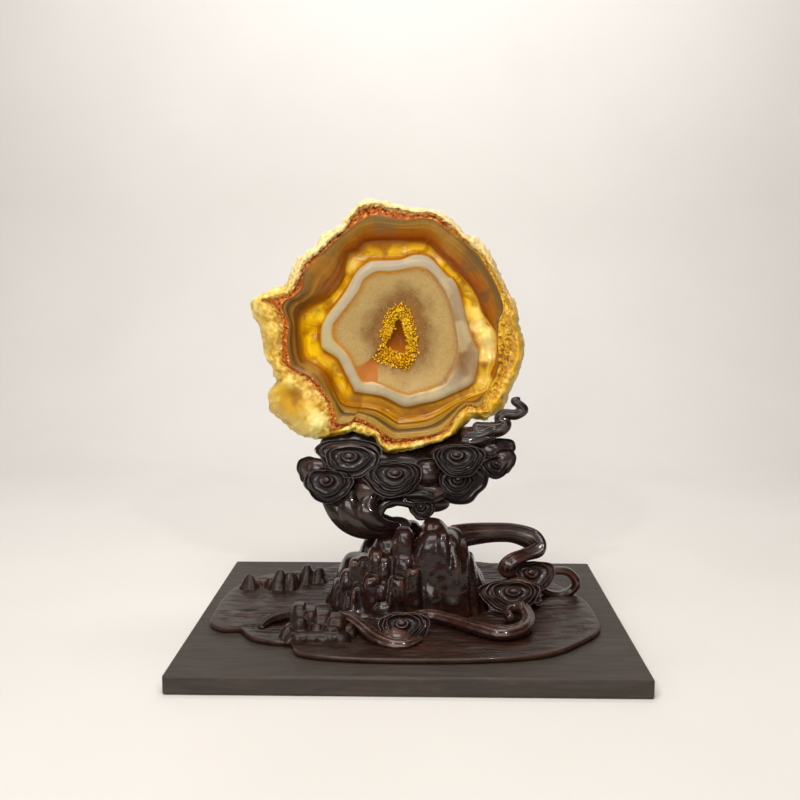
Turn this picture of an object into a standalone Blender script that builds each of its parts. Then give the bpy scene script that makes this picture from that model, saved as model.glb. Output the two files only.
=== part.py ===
# Gobi agate on a carved hardwood stand.
# Metres, +Z up. The origin is on the underside of the board, below the middle of the board.
# The stone faces -Y. Sizes below are in millimetres and are turned into metres by MM.
import math

import bmesh
import bpy
import numpy as np
from mathutils import Matrix, Vector, noise

MM = 0.001

# Driving dimensions, in millimetres
BOARD_WIDTH = 240.0
BOARD_DEPTH = 200.0
BOARD_THICKNESS = 10.0
BOARD_EDGE = 1.2
STONE_WIDTH = 158.0
STONE_DEPTH = 50.0
STONE_CENTRE = (-7.2, 15.0, 172.8)
GROUND_THICKNESS = 3.5
GAP = 0.3
BED_GAP = 0.5

# Heights that follow from the driving dimensions
BOARD_TOP = BOARD_THICKNESS
GROUND_TOP = BOARD_TOP + GAP + GROUND_THICKNESS
REST = GROUND_TOP + GAP

# The outlines of the stone's bands were picked by hand off the photograph, in its pixels.
# The stone is 274 pixels wide there, which gives the size of a pixel in the plane of its rim.
STONE_PIXELS = 274.0
PIXEL = STONE_WIDTH / STONE_PIXELS
CENTRE_PIXEL = (398, 330)
EYE = (7.1, -565.7, 202.3)

SILHOUETTE = [
    (398, 206), (440, 214), (468, 237), (475, 238), (490, 253), (508, 291), (517, 304), (519, 326),
    (524, 348), (524, 358), (519, 375), (511, 390), (505, 410), (490, 418), (488, 421), (472, 421),
    (455, 437), (448, 441), (420, 451), (388, 456), (383, 453), (373, 441), (366, 440), (352, 434),
    (347, 436), (333, 440), (317, 442), (311, 441), (294, 435), (271, 417), (267, 410), (265, 396),
    (268, 390), (275, 383), (275, 379), (272, 376), (271, 368), (263, 357), (260, 337), (250, 308),
    (256, 297), (274, 288), (281, 287), (286, 283), (297, 262), (302, 256), (314, 246), (324, 234),
    (337, 227), (343, 226), (345, 220), (362, 202), (370, 200), (386, 202)]
RIND_EDGE = [
    (398, 210), (412, 214), (430, 214), (438, 217), (456, 230), (462, 238), (480, 252), (485, 258),
    (504, 291), (510, 305), (512, 312), (510, 318), (517, 347), (516, 357), (502, 386), (491, 402),
    (488, 411), (472, 409), (465, 411), (456, 419), (446, 436), (389, 448), (376, 434), (363, 428),
    (352, 426), (333, 432), (329, 430), (328, 410), (325, 404), (306, 381), (288, 370), (280, 360),
    (280, 323), (270, 305), (262, 300), (282, 296), (288, 293), (295, 284), (306, 262), (321, 250),
    (330, 240), (345, 229), (352, 216), (363, 207), (378, 205), (392, 210)]
CRUMBLE_EDGE = [
    (370, 217), (380, 216), (400, 220), (420, 219), (430, 220), (437, 223), (470, 248), (481, 259),
    (495, 282), (503, 303), (503, 312), (499, 325), (499, 365), (496, 378), (487, 393), (483, 406),
    (470, 405), (463, 408), (440, 434), (400, 441), (393, 441), (383, 435), (371, 426), (358, 420),
    (354, 419), (350, 424), (338, 425), (335, 422), (332, 408), (321, 390), (312, 379), (293, 369),
    (289, 364), (286, 343), (288, 328), (287, 321), (281, 309), (282, 303), (286, 299), (292, 297),
    (301, 288), (303, 275), (309, 265), (355, 225)]
WALL_FOOT = [
    (358, 248), (370, 240), (420, 240), (428, 243), (434, 247), (465, 280), (476, 296), (483, 313),
    (497, 332), (498, 348), (496, 363), (492, 373), (494, 380), (491, 387), (486, 392), (460, 403),
    (430, 420), (402, 424), (395, 422), (376, 411), (345, 406), (336, 396), (327, 375), (317, 366),
    (304, 358), (301, 343), (300, 316), (326, 297), (336, 287), (343, 276), (347, 257), (351, 251)]
RING_OUTSIDE = [
    (375, 261), (400, 260), (415, 255), (430, 258), (447, 276), (453, 279), (460, 294), (470, 333),
    (478, 349), (479, 355), (476, 377), (472, 384), (466, 388), (440, 400), (422, 404), (404, 407),
    (383, 397), (358, 393), (353, 389), (340, 363), (335, 357), (323, 349), (321, 345), (321, 330),
    (326, 317), (343, 295), (357, 272), (368, 263)]
RING_INSIDE = [
    (378, 272), (392, 272), (416, 268), (423, 269), (430, 272), (439, 282), (450, 302), (459, 350),
    (448, 379), (445, 384), (431, 390), (415, 394), (405, 395), (375, 383), (361, 381), (348, 355),
    (334, 340), (333, 327), (336, 321), (358, 293), (363, 282), (368, 277)]
HOLLOW_EDGE = [
    (402, 307), (407, 313), (410, 321), (416, 348), (414, 357), (405, 369), (392, 364), (378, 360),
    (376, 355), (383, 343), (387, 320), (390, 314), (396, 309)]

# Rings of the stone from its back to the bottom of its hollow: two outlines, how far the ring is
# from the first towards the second, and its depth in millimetres behind the rim of the rind.
BACK_RINGS = [
    (0.28, 49.4), (0.52, 47.0), (0.72, 42.6), (0.87, 36.0), (0.95, 28.5), (0.99, 20.5), (1.00, 13.0)]
FACE_RINGS = [
    (SILHOUETTE, RIND_EDGE, 0.15, 6.0), (SILHOUETTE, RIND_EDGE, 0.40, 1.5),
    (SILHOUETTE, RIND_EDGE, 0.68, 0.0), (SILHOUETTE, RIND_EDGE, 1.00, 0.8),
    (RIND_EDGE, CRUMBLE_EDGE, 0.50, 2.6), (RIND_EDGE, CRUMBLE_EDGE, 1.00, 1.5),
    (CRUMBLE_EDGE, WALL_FOOT, 0.33, 3.5), (CRUMBLE_EDGE, WALL_FOOT, 0.66, 7.0),
    (CRUMBLE_EDGE, WALL_FOOT, 1.00, 11.0),
    (WALL_FOOT, RING_OUTSIDE, 0.35, 13.5), (WALL_FOOT, RING_OUTSIDE, 0.80, 13.0),
    (WALL_FOOT, RING_OUTSIDE, 1.00, 10.0),
    (RING_OUTSIDE, RING_INSIDE, 0.20, 8.6), (RING_OUTSIDE, RING_INSIDE, 0.50, 8.2),
    (RING_OUTSIDE, RING_INSIDE, 0.85, 8.8), (RING_OUTSIDE, RING_INSIDE, 1.00, 10.6),
    (RING_INSIDE, HOLLOW_EDGE, 0.20, 10.9), (RING_INSIDE, HOLLOW_EDGE, 0.55, 12.2),
    (RING_INSIDE, HOLLOW_EDGE, 1.00, 14.5)]
HOLLOW_RINGS = [(0.62, 20.0), (0.30, 23.4)]
HOLLOW_DEPTH = 24.5
STONE_SEGMENTS = 56

# The back's rings grow rounder towards its middle, to a circle of this radius in pixels
ROUND_REACH = 122.0

# Lumps (+) and dimples (-) of the rind as seen from the front: pixel, radius in pixels, height in mm
RIND_LUMPS = [
    ((302, 418), 20, 4.0), ((288, 400), 11, -4.5), ((268, 402), 8, 1.5), ((262, 314), 13, 2.5),
    ((268, 352), 10, -2.0), ((290, 386), 7, 2.0), ((316, 428), 9, 2.0), ((355, 418), 9, -3.0),
    ((344, 424), 8, 2.0), ((518, 330), 12, -1.5), ((470, 240), 9, 1.5), ((498, 400), 12, 1.5)]

WOOD = (0.035, 0.016, 0.010, 1.0)
BOARD_WOOD = (0.050, 0.034, 0.026, 1.0)
RIND_YELLOW = (0.62, 0.42, 0.10, 1.0)
DRUSE_YELLOW = (0.72, 0.45, 0.06, 1.0)


def clear_scene():
    for old in list(bpy.data.objects):
        bpy.data.objects.remove(old, do_unlink=True)


def new_collection(name):
    collection = bpy.data.collections.new(name)
    bpy.context.scene.collection.children.link(collection)
    return collection


def new_material(name, colour, roughness):
    material = bpy.data.materials.new(name)
    material.use_nodes = True
    shader = material.node_tree.nodes["Principled BSDF"]
    shader.inputs["Base Color"].default_value = colour
    shader.inputs["Roughness"].default_value = roughness
    shader.inputs["Metallic"].default_value = 0.0
    return material


def new_object(name, bm, collection, material=None):
    mesh = bpy.data.meshes.new(name)
    bm.to_mesh(mesh)
    bm.free()
    piece = bpy.data.objects.new(name, mesh)
    collection.objects.link(piece)
    if material:
        mesh.materials.append(material)
    return piece


def face_outwards(bm):
    bmesh.ops.recalc_face_normals(bm, faces=bm.faces)
    if bm.calc_volume(signed=True) < 0:
        bmesh.ops.reverse_faces(bm, faces=bm.faces)


def cutter_look(piece):
    piece.hide_render = True
    piece.display_type = "WIRE"


def between(a, b, c, d, t):
    """The place at share t from b to c on the smooth curve through a, b, c and d."""
    a, b, c, d = (np.array(point, float) for point in (a, b, c, d))
    bend = 2 * a - 5 * b + 4 * c - d
    twist = 3 * b - a - 3 * c + d
    return 0.5 * (2 * b + (c - a) * t + bend * t ** 2 + twist * t ** 3)


def smooth_closed(points, steps=6):
    """Points along a smooth closed curve through the given points."""
    count = len(points)
    result = []
    for index in range(count):
        near = [points[(index + k) % count] for k in (-1, 0, 1, 2)]
        result += [between(*near, step / steps) for step in range(steps)]
    return np.array(result)


def radius_of(outline):
    """The outline's radius in pixels as a function of the angle round the stone's centre."""
    curve = smooth_closed(outline) - np.array(CENTRE_PIXEL, float)
    angles = np.arctan2(-curve[:, 1], curve[:, 0])
    radii = np.hypot(curve[:, 0], curve[:, 1])
    order = np.argsort(angles)
    return lambda angle: np.interp(angle, angles[order], radii[order], period=2 * math.pi)


def along_sight(x, z, depth):
    """A point of the photograph's plane at the rim, moved back along the line of sight."""
    rim = Vector((STONE_CENTRE[0] + x, STONE_CENTRE[1], STONE_CENTRE[2] + z))
    eye = Vector(EYE)
    return eye + (rim - eye) * (1 + depth / (rim.y - eye.y))


def rind_height(x, z):
    height = 0.0
    for (px, py), radius, lift in RIND_LUMPS:
        across = x / PIXEL - (px - CENTRE_PIXEL[0])
        up = z / PIXEL + (py - CENTRE_PIXEL[1])
        height += lift * math.exp(-(across ** 2 + up ** 2) / radius ** 2)
    return height


def back_reach(reach, scale):
    """A back ring's radius in pixels: the silhouette's at full scale, rounder when smaller."""
    kept = scale ** 3
    return kept * reach + (1 - kept) * ROUND_REACH


def stone_rings():
    """Each ring of the stone: radius in millimetres by angle, depth, and how lumpy it is."""
    silhouette = radius_of(SILHOUETTE)
    hollow = radius_of(HOLLOW_EDGE)
    rings = []
    for scale, depth in BACK_RINGS:
        rings.append((lambda a, s=scale: PIXEL * s * back_reach(silhouette(a), s), depth, 0.0))
    for outer, inner, mix, depth in FACE_RINGS:
        first, second = radius_of(outer), radius_of(inner)
        lumpy = 1.0 - abs(mix - 0.6) if outer is SILHOUETTE else 0.0
        rings.append((lambda a, f=first, s=second, m=mix: PIXEL * ((1 - m) * f(a) + m * s(a)),
                      depth, lumpy))
    for scale, depth in HOLLOW_RINGS:
        rings.append((lambda a, s=scale: PIXEL * s * hollow(a), depth, 0.0))
    return rings


def back_lump(x, z, depth):
    """Low rounded lumps over the back and sides, none on the face."""
    weight = min(1.0, max(0.0, (depth - 8.0) / 12.0))
    place = Vector((x, depth, z)) / 26.0
    return weight * (5.0 * noise.noise(place) + 2.0 * noise.noise(place * 2.3))


def make_agate(collection, material):
    rings = stone_rings()
    bm = bmesh.new()
    bmesh.ops.create_uvsphere(bm, u_segments=STONE_SEGMENTS, v_segments=len(rings) + 1, radius=1.0)
    for vert in bm.verts:
        polar = math.acos(max(-1.0, min(1.0, vert.co.z)))
        ring = round(polar / math.pi * (len(rings) + 1)) - 1
        if ring < 0:
            vert.co = along_sight(0, 0, STONE_DEPTH) * MM
            continue
        if ring == len(rings):
            vert.co = along_sight(0, 0, HOLLOW_DEPTH) * MM
            continue
        angle = math.atan2(vert.co.y, vert.co.x)
        radius, depth, lumpy = rings[ring]
        reach = float(radius(angle))
        x, z = reach * math.cos(angle), reach * math.sin(angle)
        depth -= lumpy * rind_height(x, z)
        if ring < len(BACK_RINGS):
            swell = back_lump(x, z, depth)
            reach_more = 1 + 0.012 * min(0.0, swell)
            x, z = x * reach_more, z * reach_more
            depth += swell * (1.0 if ring < len(BACK_RINGS) - 2 else 0.0)
        vert.co = along_sight(x, z, depth) * MM
    face_outwards(bm)
    agate = new_object("agate", bm, collection, material)
    agate.data.shade_smooth()
    agate.data.set_sharp_from_angle(angle=math.radians(50))
    return agate


def hollow_surface():
    """Depth of the hollow's wall by share of its edge radius, from the stone's own rings."""
    shares = [0.0] + [scale for scale, depth in reversed(HOLLOW_RINGS)] + [1.0]
    depths = [HOLLOW_DEPTH] + [depth for scale, depth in reversed(HOLLOW_RINGS)]
    depths.append(FACE_RINGS[-1][3])
    return lambda share: float(np.interp(share, shares, depths))


# The crust of crystals: its share of the hollow's radius, and its sizes in millimetres
DRUSE_SHARE = 0.9
DRUSE_THICKNESS = 1.6
DRUSE_CLEARANCE = 1.0
DRUSE_POINT = 1.5
DRUSE_SEGMENTS = 20
DRUSE_ROWS = 10


def make_druse(collection, material):
    """A crust that follows the hollow's wall, its front poked into small crystal points."""
    wall = hollow_surface()
    edge = radius_of(HOLLOW_EDGE)
    bm = bmesh.new()
    bmesh.ops.create_uvsphere(bm, u_segments=DRUSE_SEGMENTS, v_segments=DRUSE_ROWS, radius=1.0)
    front = [face for face in bm.faces if face.calc_center_median().z > 0]
    for vert in bm.verts:
        share = DRUSE_SHARE * math.hypot(vert.co.x, vert.co.y)
        angle = math.atan2(vert.co.y, vert.co.x) if share > 0.01 else 0.0
        reach = PIXEL * share * float(edge(angle))
        on_rim = abs(vert.co.z) < 0.02
        layer = 0.4 if on_rim else float(vert.co.z > 0)
        depth = wall(share) - DRUSE_CLEARANCE - layer * DRUSE_THICKNESS
        vert.co = along_sight(reach * math.cos(angle), reach * math.sin(angle), depth) * MM
    poked = bmesh.ops.poke(bm, faces=front)
    for vert in poked["verts"]:
        unevenness = math.sin(900 * vert.co.x) * math.sin(1100 * vert.co.z + 2.0)
        vert.co.y -= MM * DRUSE_POINT * (0.7 + 0.3 * unevenness)
    face_outwards(bm)
    return new_object("druse_crust", bm, collection, material)


def ball(centre, radii, collection, segments=14, rings=8, name="ball"):
    """An ellipsoid; centre in millimetres, heights above the board's top."""
    bm = bmesh.new()
    bmesh.ops.create_uvsphere(bm, u_segments=segments, v_segments=rings, radius=1.0)
    x, y, z = centre
    place = Matrix.Translation(Vector((x, y, z + BOARD_TOP)) * MM) @ Matrix.Diagonal(
        Vector(radii) * MM).to_4x4()
    bm.transform(place)
    return new_object(name, bm, collection)


# A cloud head's form: how far its three lobes stand out, how far its wider tiers hang below the
# boss, and the sizes of its first tier and its boss, all as shares of its size
CLOUD_LOBE = 0.10
CLOUD_DROP = 0.08
CLOUD_FIRST = 0.46
CLOUD_BOSS = 0.16


def cloud_head(boss, width, height, tiers, collection, turn=0.0, tip=22.0, step=2.6, segments=16):
    """A ruyi cloud head: stepped discs, each a rounded triangle pointing down, with a boss.

    boss is the middle of the front disc; turn swings the head to the side and tip looks it up.
    """
    pieces = []
    aim = Matrix.Translation(Vector((boss[0], boss[1], boss[2] + BOARD_TOP)) * MM) @ Matrix.Rotation(
        math.radians(turn), 4, "Z") @ Matrix.Rotation(math.radians(90 - tip), 4, "X")
    for tier in range(tiers):
        share = CLOUD_FIRST + (1 - CLOUD_FIRST) * (tier + 1) / tiers
        depth = step if tier < tiers - 1 else step * 2.2
        bm = bmesh.new()
        bmesh.ops.create_cone(bm, cap_ends=True, segments=segments, radius1=1.0, radius2=0.86, depth=1.0)
        for vert in bm.verts:
            angle = math.atan2(vert.co.y, vert.co.x)
            reach = math.hypot(vert.co.x, vert.co.y) * (1 + CLOUD_LOBE * math.sin(3 * angle))
            drop = -CLOUD_DROP * height * (share - 0.3)
            level = vert.co.z * depth - step * tier - depth / 2
            vert.co = Vector((reach * math.cos(angle) * width / 2 * share,
                              reach * math.sin(angle) * height / 2 * share + drop, level)) * MM
        bm.transform(aim)
        pieces.append(new_object("tier", bm, collection))
    bm = bmesh.new()
    bmesh.ops.create_uvsphere(bm, u_segments=10, v_segments=6, radius=1.0)
    size = min(width, height) * CLOUD_BOSS
    bm.transform(aim @ Matrix.Diagonal(Vector((size, size, size)) * MM).to_4x4())
    pieces.append(new_object("boss", bm, collection))
    return pieces


def ribbon(points, radii, flatten, collection, samples=3, resolution=2):
    """A tube through the points, stretched along Y by flatten; points above the board's top."""
    route = []
    last = len(points) - 1
    for index in range(last):
        near = [points[min(last, max(0, index + k))] for k in (-1, 0, 1, 2)]
        for step in range(samples):
            t = step / samples
            route.append((between(*near, t), radii[index] * (1 - t) + radii[index + 1] * t))
    route.append((points[last], radii[last]))
    curve = bpy.data.curves.new("ribbon", "CURVE")
    curve.dimensions = "3D"
    curve.bevel_depth = MM
    curve.bevel_resolution = resolution
    curve.use_fill_caps = True
    spline = curve.splines.new("POLY")
    spline.points.add(len(route) - 1)
    for point, (place, radius) in zip(spline.points, route):
        x, y, z = place
        point.co = (x * MM, y * MM / flatten, (z + BOARD_TOP) * MM, 1.0)
        point.radius = radius
    tube = bpy.data.objects.new("ribbon", curve)
    collection.objects.link(tube)
    tube.scale = (1.0, flatten, 1.0)
    return to_mesh_object(tube, collection)


def to_mesh_object(source, collection):
    """The evaluated shape of a curve object as a closed mesh object; the curve is removed."""
    bpy.context.view_layer.update()
    graph = bpy.context.evaluated_depsgraph_get()
    mesh = bpy.data.meshes.new_from_object(source.evaluated_get(graph))
    bm = bmesh.new()
    bm.from_mesh(mesh)
    bm.transform(source.matrix_world)
    bmesh.ops.remove_doubles(bm, verts=bm.verts, dist=0.00002)
    face_outwards(bm)
    bpy.data.objects.remove(source, do_unlink=True)
    bpy.data.meshes.remove(mesh)
    return new_object("shape", bm, collection)


def slab(outline, low, high, collection, edge=0.0, axis="Z", smooth=3):
    """A flat outline given thickness: along Z from low to high, or along Y for axis Y."""
    curve = bpy.data.curves.new("slab", "CURVE")
    curve.dimensions = "2D"
    curve.fill_mode = "BOTH"
    curve.extrude = (high - low) / 2 * MM - edge * MM
    curve.bevel_depth = edge * MM
    curve.bevel_resolution = 0
    spline = curve.splines.new("POLY")
    route = smooth_closed(outline, smooth)
    spline.points.add(len(route) - 1)
    for point, (across, up) in zip(spline.points, route):
        point.co = (across * MM, up * MM, 0.0, 1.0)
    spline.use_cyclic_u = True
    plate = bpy.data.objects.new("slab", curve)
    collection.objects.link(plate)
    middle = (low + high) / 2 * MM
    if axis == "Y":
        plate.rotation_euler = (math.pi / 2, 0, 0)
        plate.location = (0, middle, BOARD_TOP * MM)
    else:
        plate.location = (0, 0, middle)
    return to_mesh_object(plate, collection)


def join_shapes(pieces, name, material):
    """One closed solid from overlapping shapes, by unions."""
    body = pieces[0]
    for other in pieces[1:]:
        boolean(body, other, "UNION")
        bpy.data.objects.remove(other, do_unlink=True)
    return named(body, name, material)


def melt_shapes(pieces, name, collection, material, grain, triangles):
    """One closed solid from many overlapping carved shapes: remeshed at the grain, then thinned."""
    bm = bmesh.new()
    for piece in pieces:
        bm.from_mesh(piece.data)
        bpy.data.objects.remove(piece, do_unlink=True)
    body = new_object(name, bm, collection)
    remesh = body.modifiers.new("fuse", "REMESH")
    remesh.mode = "VOXEL"
    remesh.voxel_size = grain * MM
    apply_modifiers(body)
    thin = body.modifiers.new("thin", "DECIMATE")
    thin.ratio = triangles / (2 * len(body.data.polygons))
    apply_modifiers(body)
    return named(body, name, material)


def named(body, name, material):
    body.name = name
    body.data.name = name
    body.data.materials.clear()
    body.data.materials.append(material)
    return body


def apply_modifiers(body):
    bpy.context.view_layer.update()
    graph = bpy.context.evaluated_depsgraph_get()
    mesh = bpy.data.meshes.new_from_object(body.evaluated_get(graph))
    body.modifiers.clear()
    old = body.data
    body.data = mesh
    bpy.data.meshes.remove(old)


def boolean(body, other, operation):
    modifier = body.modifiers.new("cut", "BOOLEAN")
    modifier.operation = operation
    modifier.solver = "EXACT"
    modifier.use_self = operation == "DIFFERENCE"
    modifier.object = other
    apply_modifiers(body)


def tidy_mesh(body, distance=0.00001):
    """Takes out the slivers that unions leave."""
    bm = bmesh.new()
    bm.from_mesh(body.data)
    bmesh.ops.triangulate(bm, faces=bm.faces)
    bmesh.ops.dissolve_degenerate(bm, edges=bm.edges, dist=distance)
    bm.to_mesh(body.data)
    bm.free()


def grown_copy(source, margin, collection):
    """A copy swollen by the margin, used to cut a seat that leaves a gap."""
    bm = bmesh.new()
    bm.from_mesh(source.data)
    bm.normal_update()
    moves = [(vert, vert.normal * margin * MM) for vert in bm.verts]
    for vert, move in moves:
        vert.co += move
    copy = new_object(source.name + "_cutter", bm, collection)
    cutter_look(copy)
    return copy


def make_board(collection, material):
    bm = bmesh.new()
    bmesh.ops.create_cube(bm, size=1.0)
    size = Vector((BOARD_WIDTH, BOARD_DEPTH, BOARD_THICKNESS)) * MM
    bm.transform(Matrix.Translation((0, 0, BOARD_THICKNESS / 2 * MM)) @ Matrix.Diagonal(size).to_4x4())
    board = new_object("base_board", bm, collection, material)
    bevel = board.modifiers.new("eased edges", "BEVEL")
    bevel.width = BOARD_EDGE * MM
    bevel.segments = 2
    return board


def rock(centre, radii, top, collection, sides=7, taper=0.55, seed=0, foot=-2.0):
    """A cliff column or boulder: a tapered many-sided block with a broken top."""
    x, y = centre
    bm = bmesh.new()
    bmesh.ops.create_cone(bm, cap_ends=True, segments=sides, radius1=1.0, radius2=taper, depth=1.0)
    bmesh.ops.bevel(bm, geom=[e for e in bm.edges if min(v.co.z for v in e.verts) > 0.4],
                    offset=0.3, segments=2, affect="EDGES")
    for vert in bm.verts:
        place = vert.co * 1.7 + Vector((seed * 3.1, 0, 0))
        level = vert.co.z + 0.5
        spread = 1 + 0.3 * noise.noise(place)
        drop = 0.08 * noise.noise(place + Vector((0, 7.3, 0)))
        vert.co = Vector((
            (x + vert.co.x * radii[0] * spread) * MM,
            (y + vert.co.y * radii[1] * spread) * MM,
            (BOARD_TOP + foot + (top - foot) * level * (1 + drop * level)) * MM))
    return new_object("rock", bm, collection)


def cut_below(body, height, cutters):
    """Takes away all that is lower than the height, so the piece rests flat."""
    bm = bmesh.new()
    bmesh.ops.create_cube(bm, size=1.0)
    reach = 2 * BOARD_WIDTH * MM
    bm.transform(Matrix.Translation((0, 0, height * MM - reach / 2)) @ Matrix.Scale(reach, 4))
    cutter = new_object("floor_cutter", bm, cutters)
    cutter_look(cutter)
    boolean(body, cutter, "DIFFERENCE")
    bpy.data.objects.remove(cutter, do_unlink=True)


def cut_round(body, neighbour, cutters):
    """Takes the neighbour's form, grown by the bed's gap, out of the body."""
    socket = grown_copy(neighbour, BED_GAP, cutters)
    boolean(body, socket, "DIFFERENCE")
    bpy.data.objects.remove(socket, do_unlink=True)


def cut_to_fit(piece, neighbours, cutters):
    """Rests the piece flat on the carved ground and keeps the gap to its neighbours."""
    cut_below(piece, REST, cutters)
    for neighbour in neighbours:
        cut_round(piece, neighbour, cutters)
    keep_largest(piece)
    tidy_mesh(piece)


# The mass behind the cloud heads, in which the stone is bedded: centre, radii, segments, rings
SEAT_MASSES = [
    ((-12, 27, 80), (46, 22, 19), 20, 12), ((-38, 13, 93), (17.5, 12, 11.5), 16, 10),
    ((30, 22, 84), (22, 18, 20), 16, 10), ((-57, 8, 82), (9.5, 9, 8.5), 14, 8),
    ((29, 17, 72.5), (17, 9, 11.5), 14, 8), ((50, 16, 92), (11, 8, 9.5), 14, 8),
    ((-24, 10, 78), (8, 9, 9), 14, 8)]
# Cloud heads: boss, width, height, tiers, turn in degrees
SEAT_CLOUDS = [
    ((-35, 1, 91), 35, 19, 2, -8), ((-48, -2, 77), 33, 21, 2, -14), ((-8.4, -3, 81.6), 37, 22, 3, 0),
    ((26.6, -1, 92.3), 32, 19, 3, 0), ((27.8, 6, 77.5), 22, 16, 2, 0), ((49.5, 6, 86.2), 20, 14, 2, 12),
    ((6.4, 5, 60.6), 16, 12, 2, 0)]
# Side outline of the scroll stem: across and above the board's top
STEM_OUTLINE = [
    (-50, 66), (-46, 60), (-40, 56.5), (-38.5, 50), (-34, 45.5), (-27, 42.5), (-18, 41), (-8, 41.5),
    (2, 40), (5, 46), (-1, 49), (-8, 48.5), (-14, 53), (-14.5, 59.5), (-10, 62.5), (-1, 61.5),
    (6, 61.5), (14, 64), (10, 70), (-20, 74)]
STEM_FRONT = 3
STEM_BACK = 27
TAIL_ROUTE = [
    (34, 18, 104), (44, 17, 104.5), (52, 16, 104.8), (54.5, 15, 107), (51, 15, 110.5), (55, 15, 113.5),
    (62, 15, 113.3), (66, 15, 116), (63, 15, 119.3), (60.7, 15, 121.4), (64, 15, 123)]
TAIL_RADII = [3.5, 2.8, 3.2, 3.2, 3.0, 2.4, 2.4, 2.3, 1.9, 1.5, 0.8]
SEAT_GRAIN = 0.8
SEAT_TRIANGLES = 1750


def make_seat(collection, cutters, material, agate):
    shapes = [ball(*mass[:2], collection, *mass[2:]) for mass in SEAT_MASSES]
    shapes.append(slab(STEM_OUTLINE, STEM_FRONT, STEM_BACK, collection, 2.5, "Y", 2))
    for boss, width, height, tiers, turn in SEAT_CLOUDS:
        shapes += cloud_head(boss, width, height, tiers, collection, turn)
    shapes.append(ribbon(TAIL_ROUTE, TAIL_RADII, 1.5, collection))
    seat = melt_shapes(shapes, "cloud_seat", collection, material, SEAT_GRAIN, SEAT_TRIANGLES)
    cut_round(seat, agate, cutters)
    tidy_mesh(seat)
    return seat


# Cliff columns: middle, half widths, height of the top, sides, taper
CLIFFS = [
    ((0, 12), (45, 37), 12, 12, 0.93), ((-2.5, -4), (8.5, 12), 52, 7, 0.9), ((13, 0), (12, 15), 54, 9, 0.85),
    ((21, -2), (17, 17), 49, 10, 0.82), ((30, -2), (14, 16), 40, 9, 0.85), ((38, 2), (8, 13), 24, 7, 0.9),
    ((14, -4), (31, 16), 30, 9, 0.98), ((-19, -4), (11, 15), 36, 8, 0.9), ((-32, 6), (9, 10), 28, 7, 0.9),
    ((-41, 12), (6, 8), 20, 6, 0.85), ((-37, 30), (10, 14), 28, 7, 0.75), ((-22, 28), (14, 18), 40, 8, 0.7),
    ((5, 25), (22, 17), 50, 8, 0.65), ((38, 28), (15, 17), 30, 8, 0.6)]
CLIFF_FOOT = -6.0
MOUNTAIN_GRAIN = 1.0
MOUNTAIN_TRIANGLES = 960


def make_mountain(collection, cutters, material, seat):
    shapes = [rock(middle, half, top, collection, sides, taper, index, CLIFF_FOOT)
              for index, (middle, half, top, sides, taper) in enumerate(CLIFFS)]
    mountain = melt_shapes(shapes, "mountain", collection, material, MOUNTAIN_GRAIN, MOUNTAIN_TRIANGLES)
    cut_below(mountain, REST, cutters)
    cut_round(mountain, seat, cutters)
    tidy_mesh(mountain)
    return mountain


RIGHT_ROUTE = [
    (24, 6, 42), (36, 12, 42.6), (50, 15, 43.2), (62, 17, 42), (72.5, 17, 38.5), (75.5, 14, 33.5),
    (68, 10, 30.5), (60, 6, 28.5), (56.5, 4, 25), (60, 6, 21.5), (68, 12, 19)]
RIGHT_RADII = [5.8, 5.4, 4.4, 4.6, 5.4, 4.6, 3.8, 3.9, 4.2, 4.2, 4.0]
CURL_ROUTE = [
    (80, 20, 16.5), (88, 21, 18.2), (95.5, 22, 16.8), (100, 22, 11), (97.2, 22, 5.6), (90.5, 21, 3.2),
    (83.5, 20, 4.4), (78, 19, 8)]
CURL_RADII = [2.4, 2.3, 2.5, 2.7, 2.4, 2.1, 2.1, 2.4]


# Its two cloud heads: boss, width, height, tiers, turn in degrees; and the lump that carries them
RIGHT_CLOUDS = [((71.5, 9, 20.5), 27, 18, 2, 10), ((59, -16, 17.0), 33, 18, 3, 0)]
RIGHT_MASS = ((64, 2, 13), (13, 14, 10))
RIBBON_GRAIN = 0.6
RIGHT_TRIANGLES = 850


def make_right_ribbon(collection, cutters, material, mountain):
    shapes = [ribbon(RIGHT_ROUTE, RIGHT_RADII, 1.6, collection, 2)]
    shapes.append(ribbon(CURL_ROUTE, CURL_RADII, 1.8, collection, 2))
    for boss, width, height, tiers, turn in RIGHT_CLOUDS:
        shapes += cloud_head(boss, width, height, tiers, collection, turn)
    shapes.append(ball(*RIGHT_MASS, collection))
    piece = melt_shapes(shapes, "cloud_ribbon_right", collection, material, RIBBON_GRAIN, RIGHT_TRIANGLES)
    cut_to_fit(piece, [mountain], cutters)
    return piece


def keep_largest(piece):
    """Drops the offcuts that a cut leaves, such as a ribbon's end inside the mountain."""
    bm = bmesh.new()
    bm.from_mesh(piece.data)
    groups = []
    unseen = set(bm.verts)
    while unseen:
        stack = [unseen.pop()]
        group = list(stack)
        while stack:
            for edge in stack.pop().link_edges:
                for vert in edge.verts:
                    if vert in unseen:
                        unseen.remove(vert)
                        stack.append(vert)
                        group.append(vert)
        groups.append(group)
    groups.sort(key=len)
    for group in groups[:-1]:
        bmesh.ops.delete(bm, geom=group, context="VERTS")
    bm.to_mesh(piece.data)
    bm.free()


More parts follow.
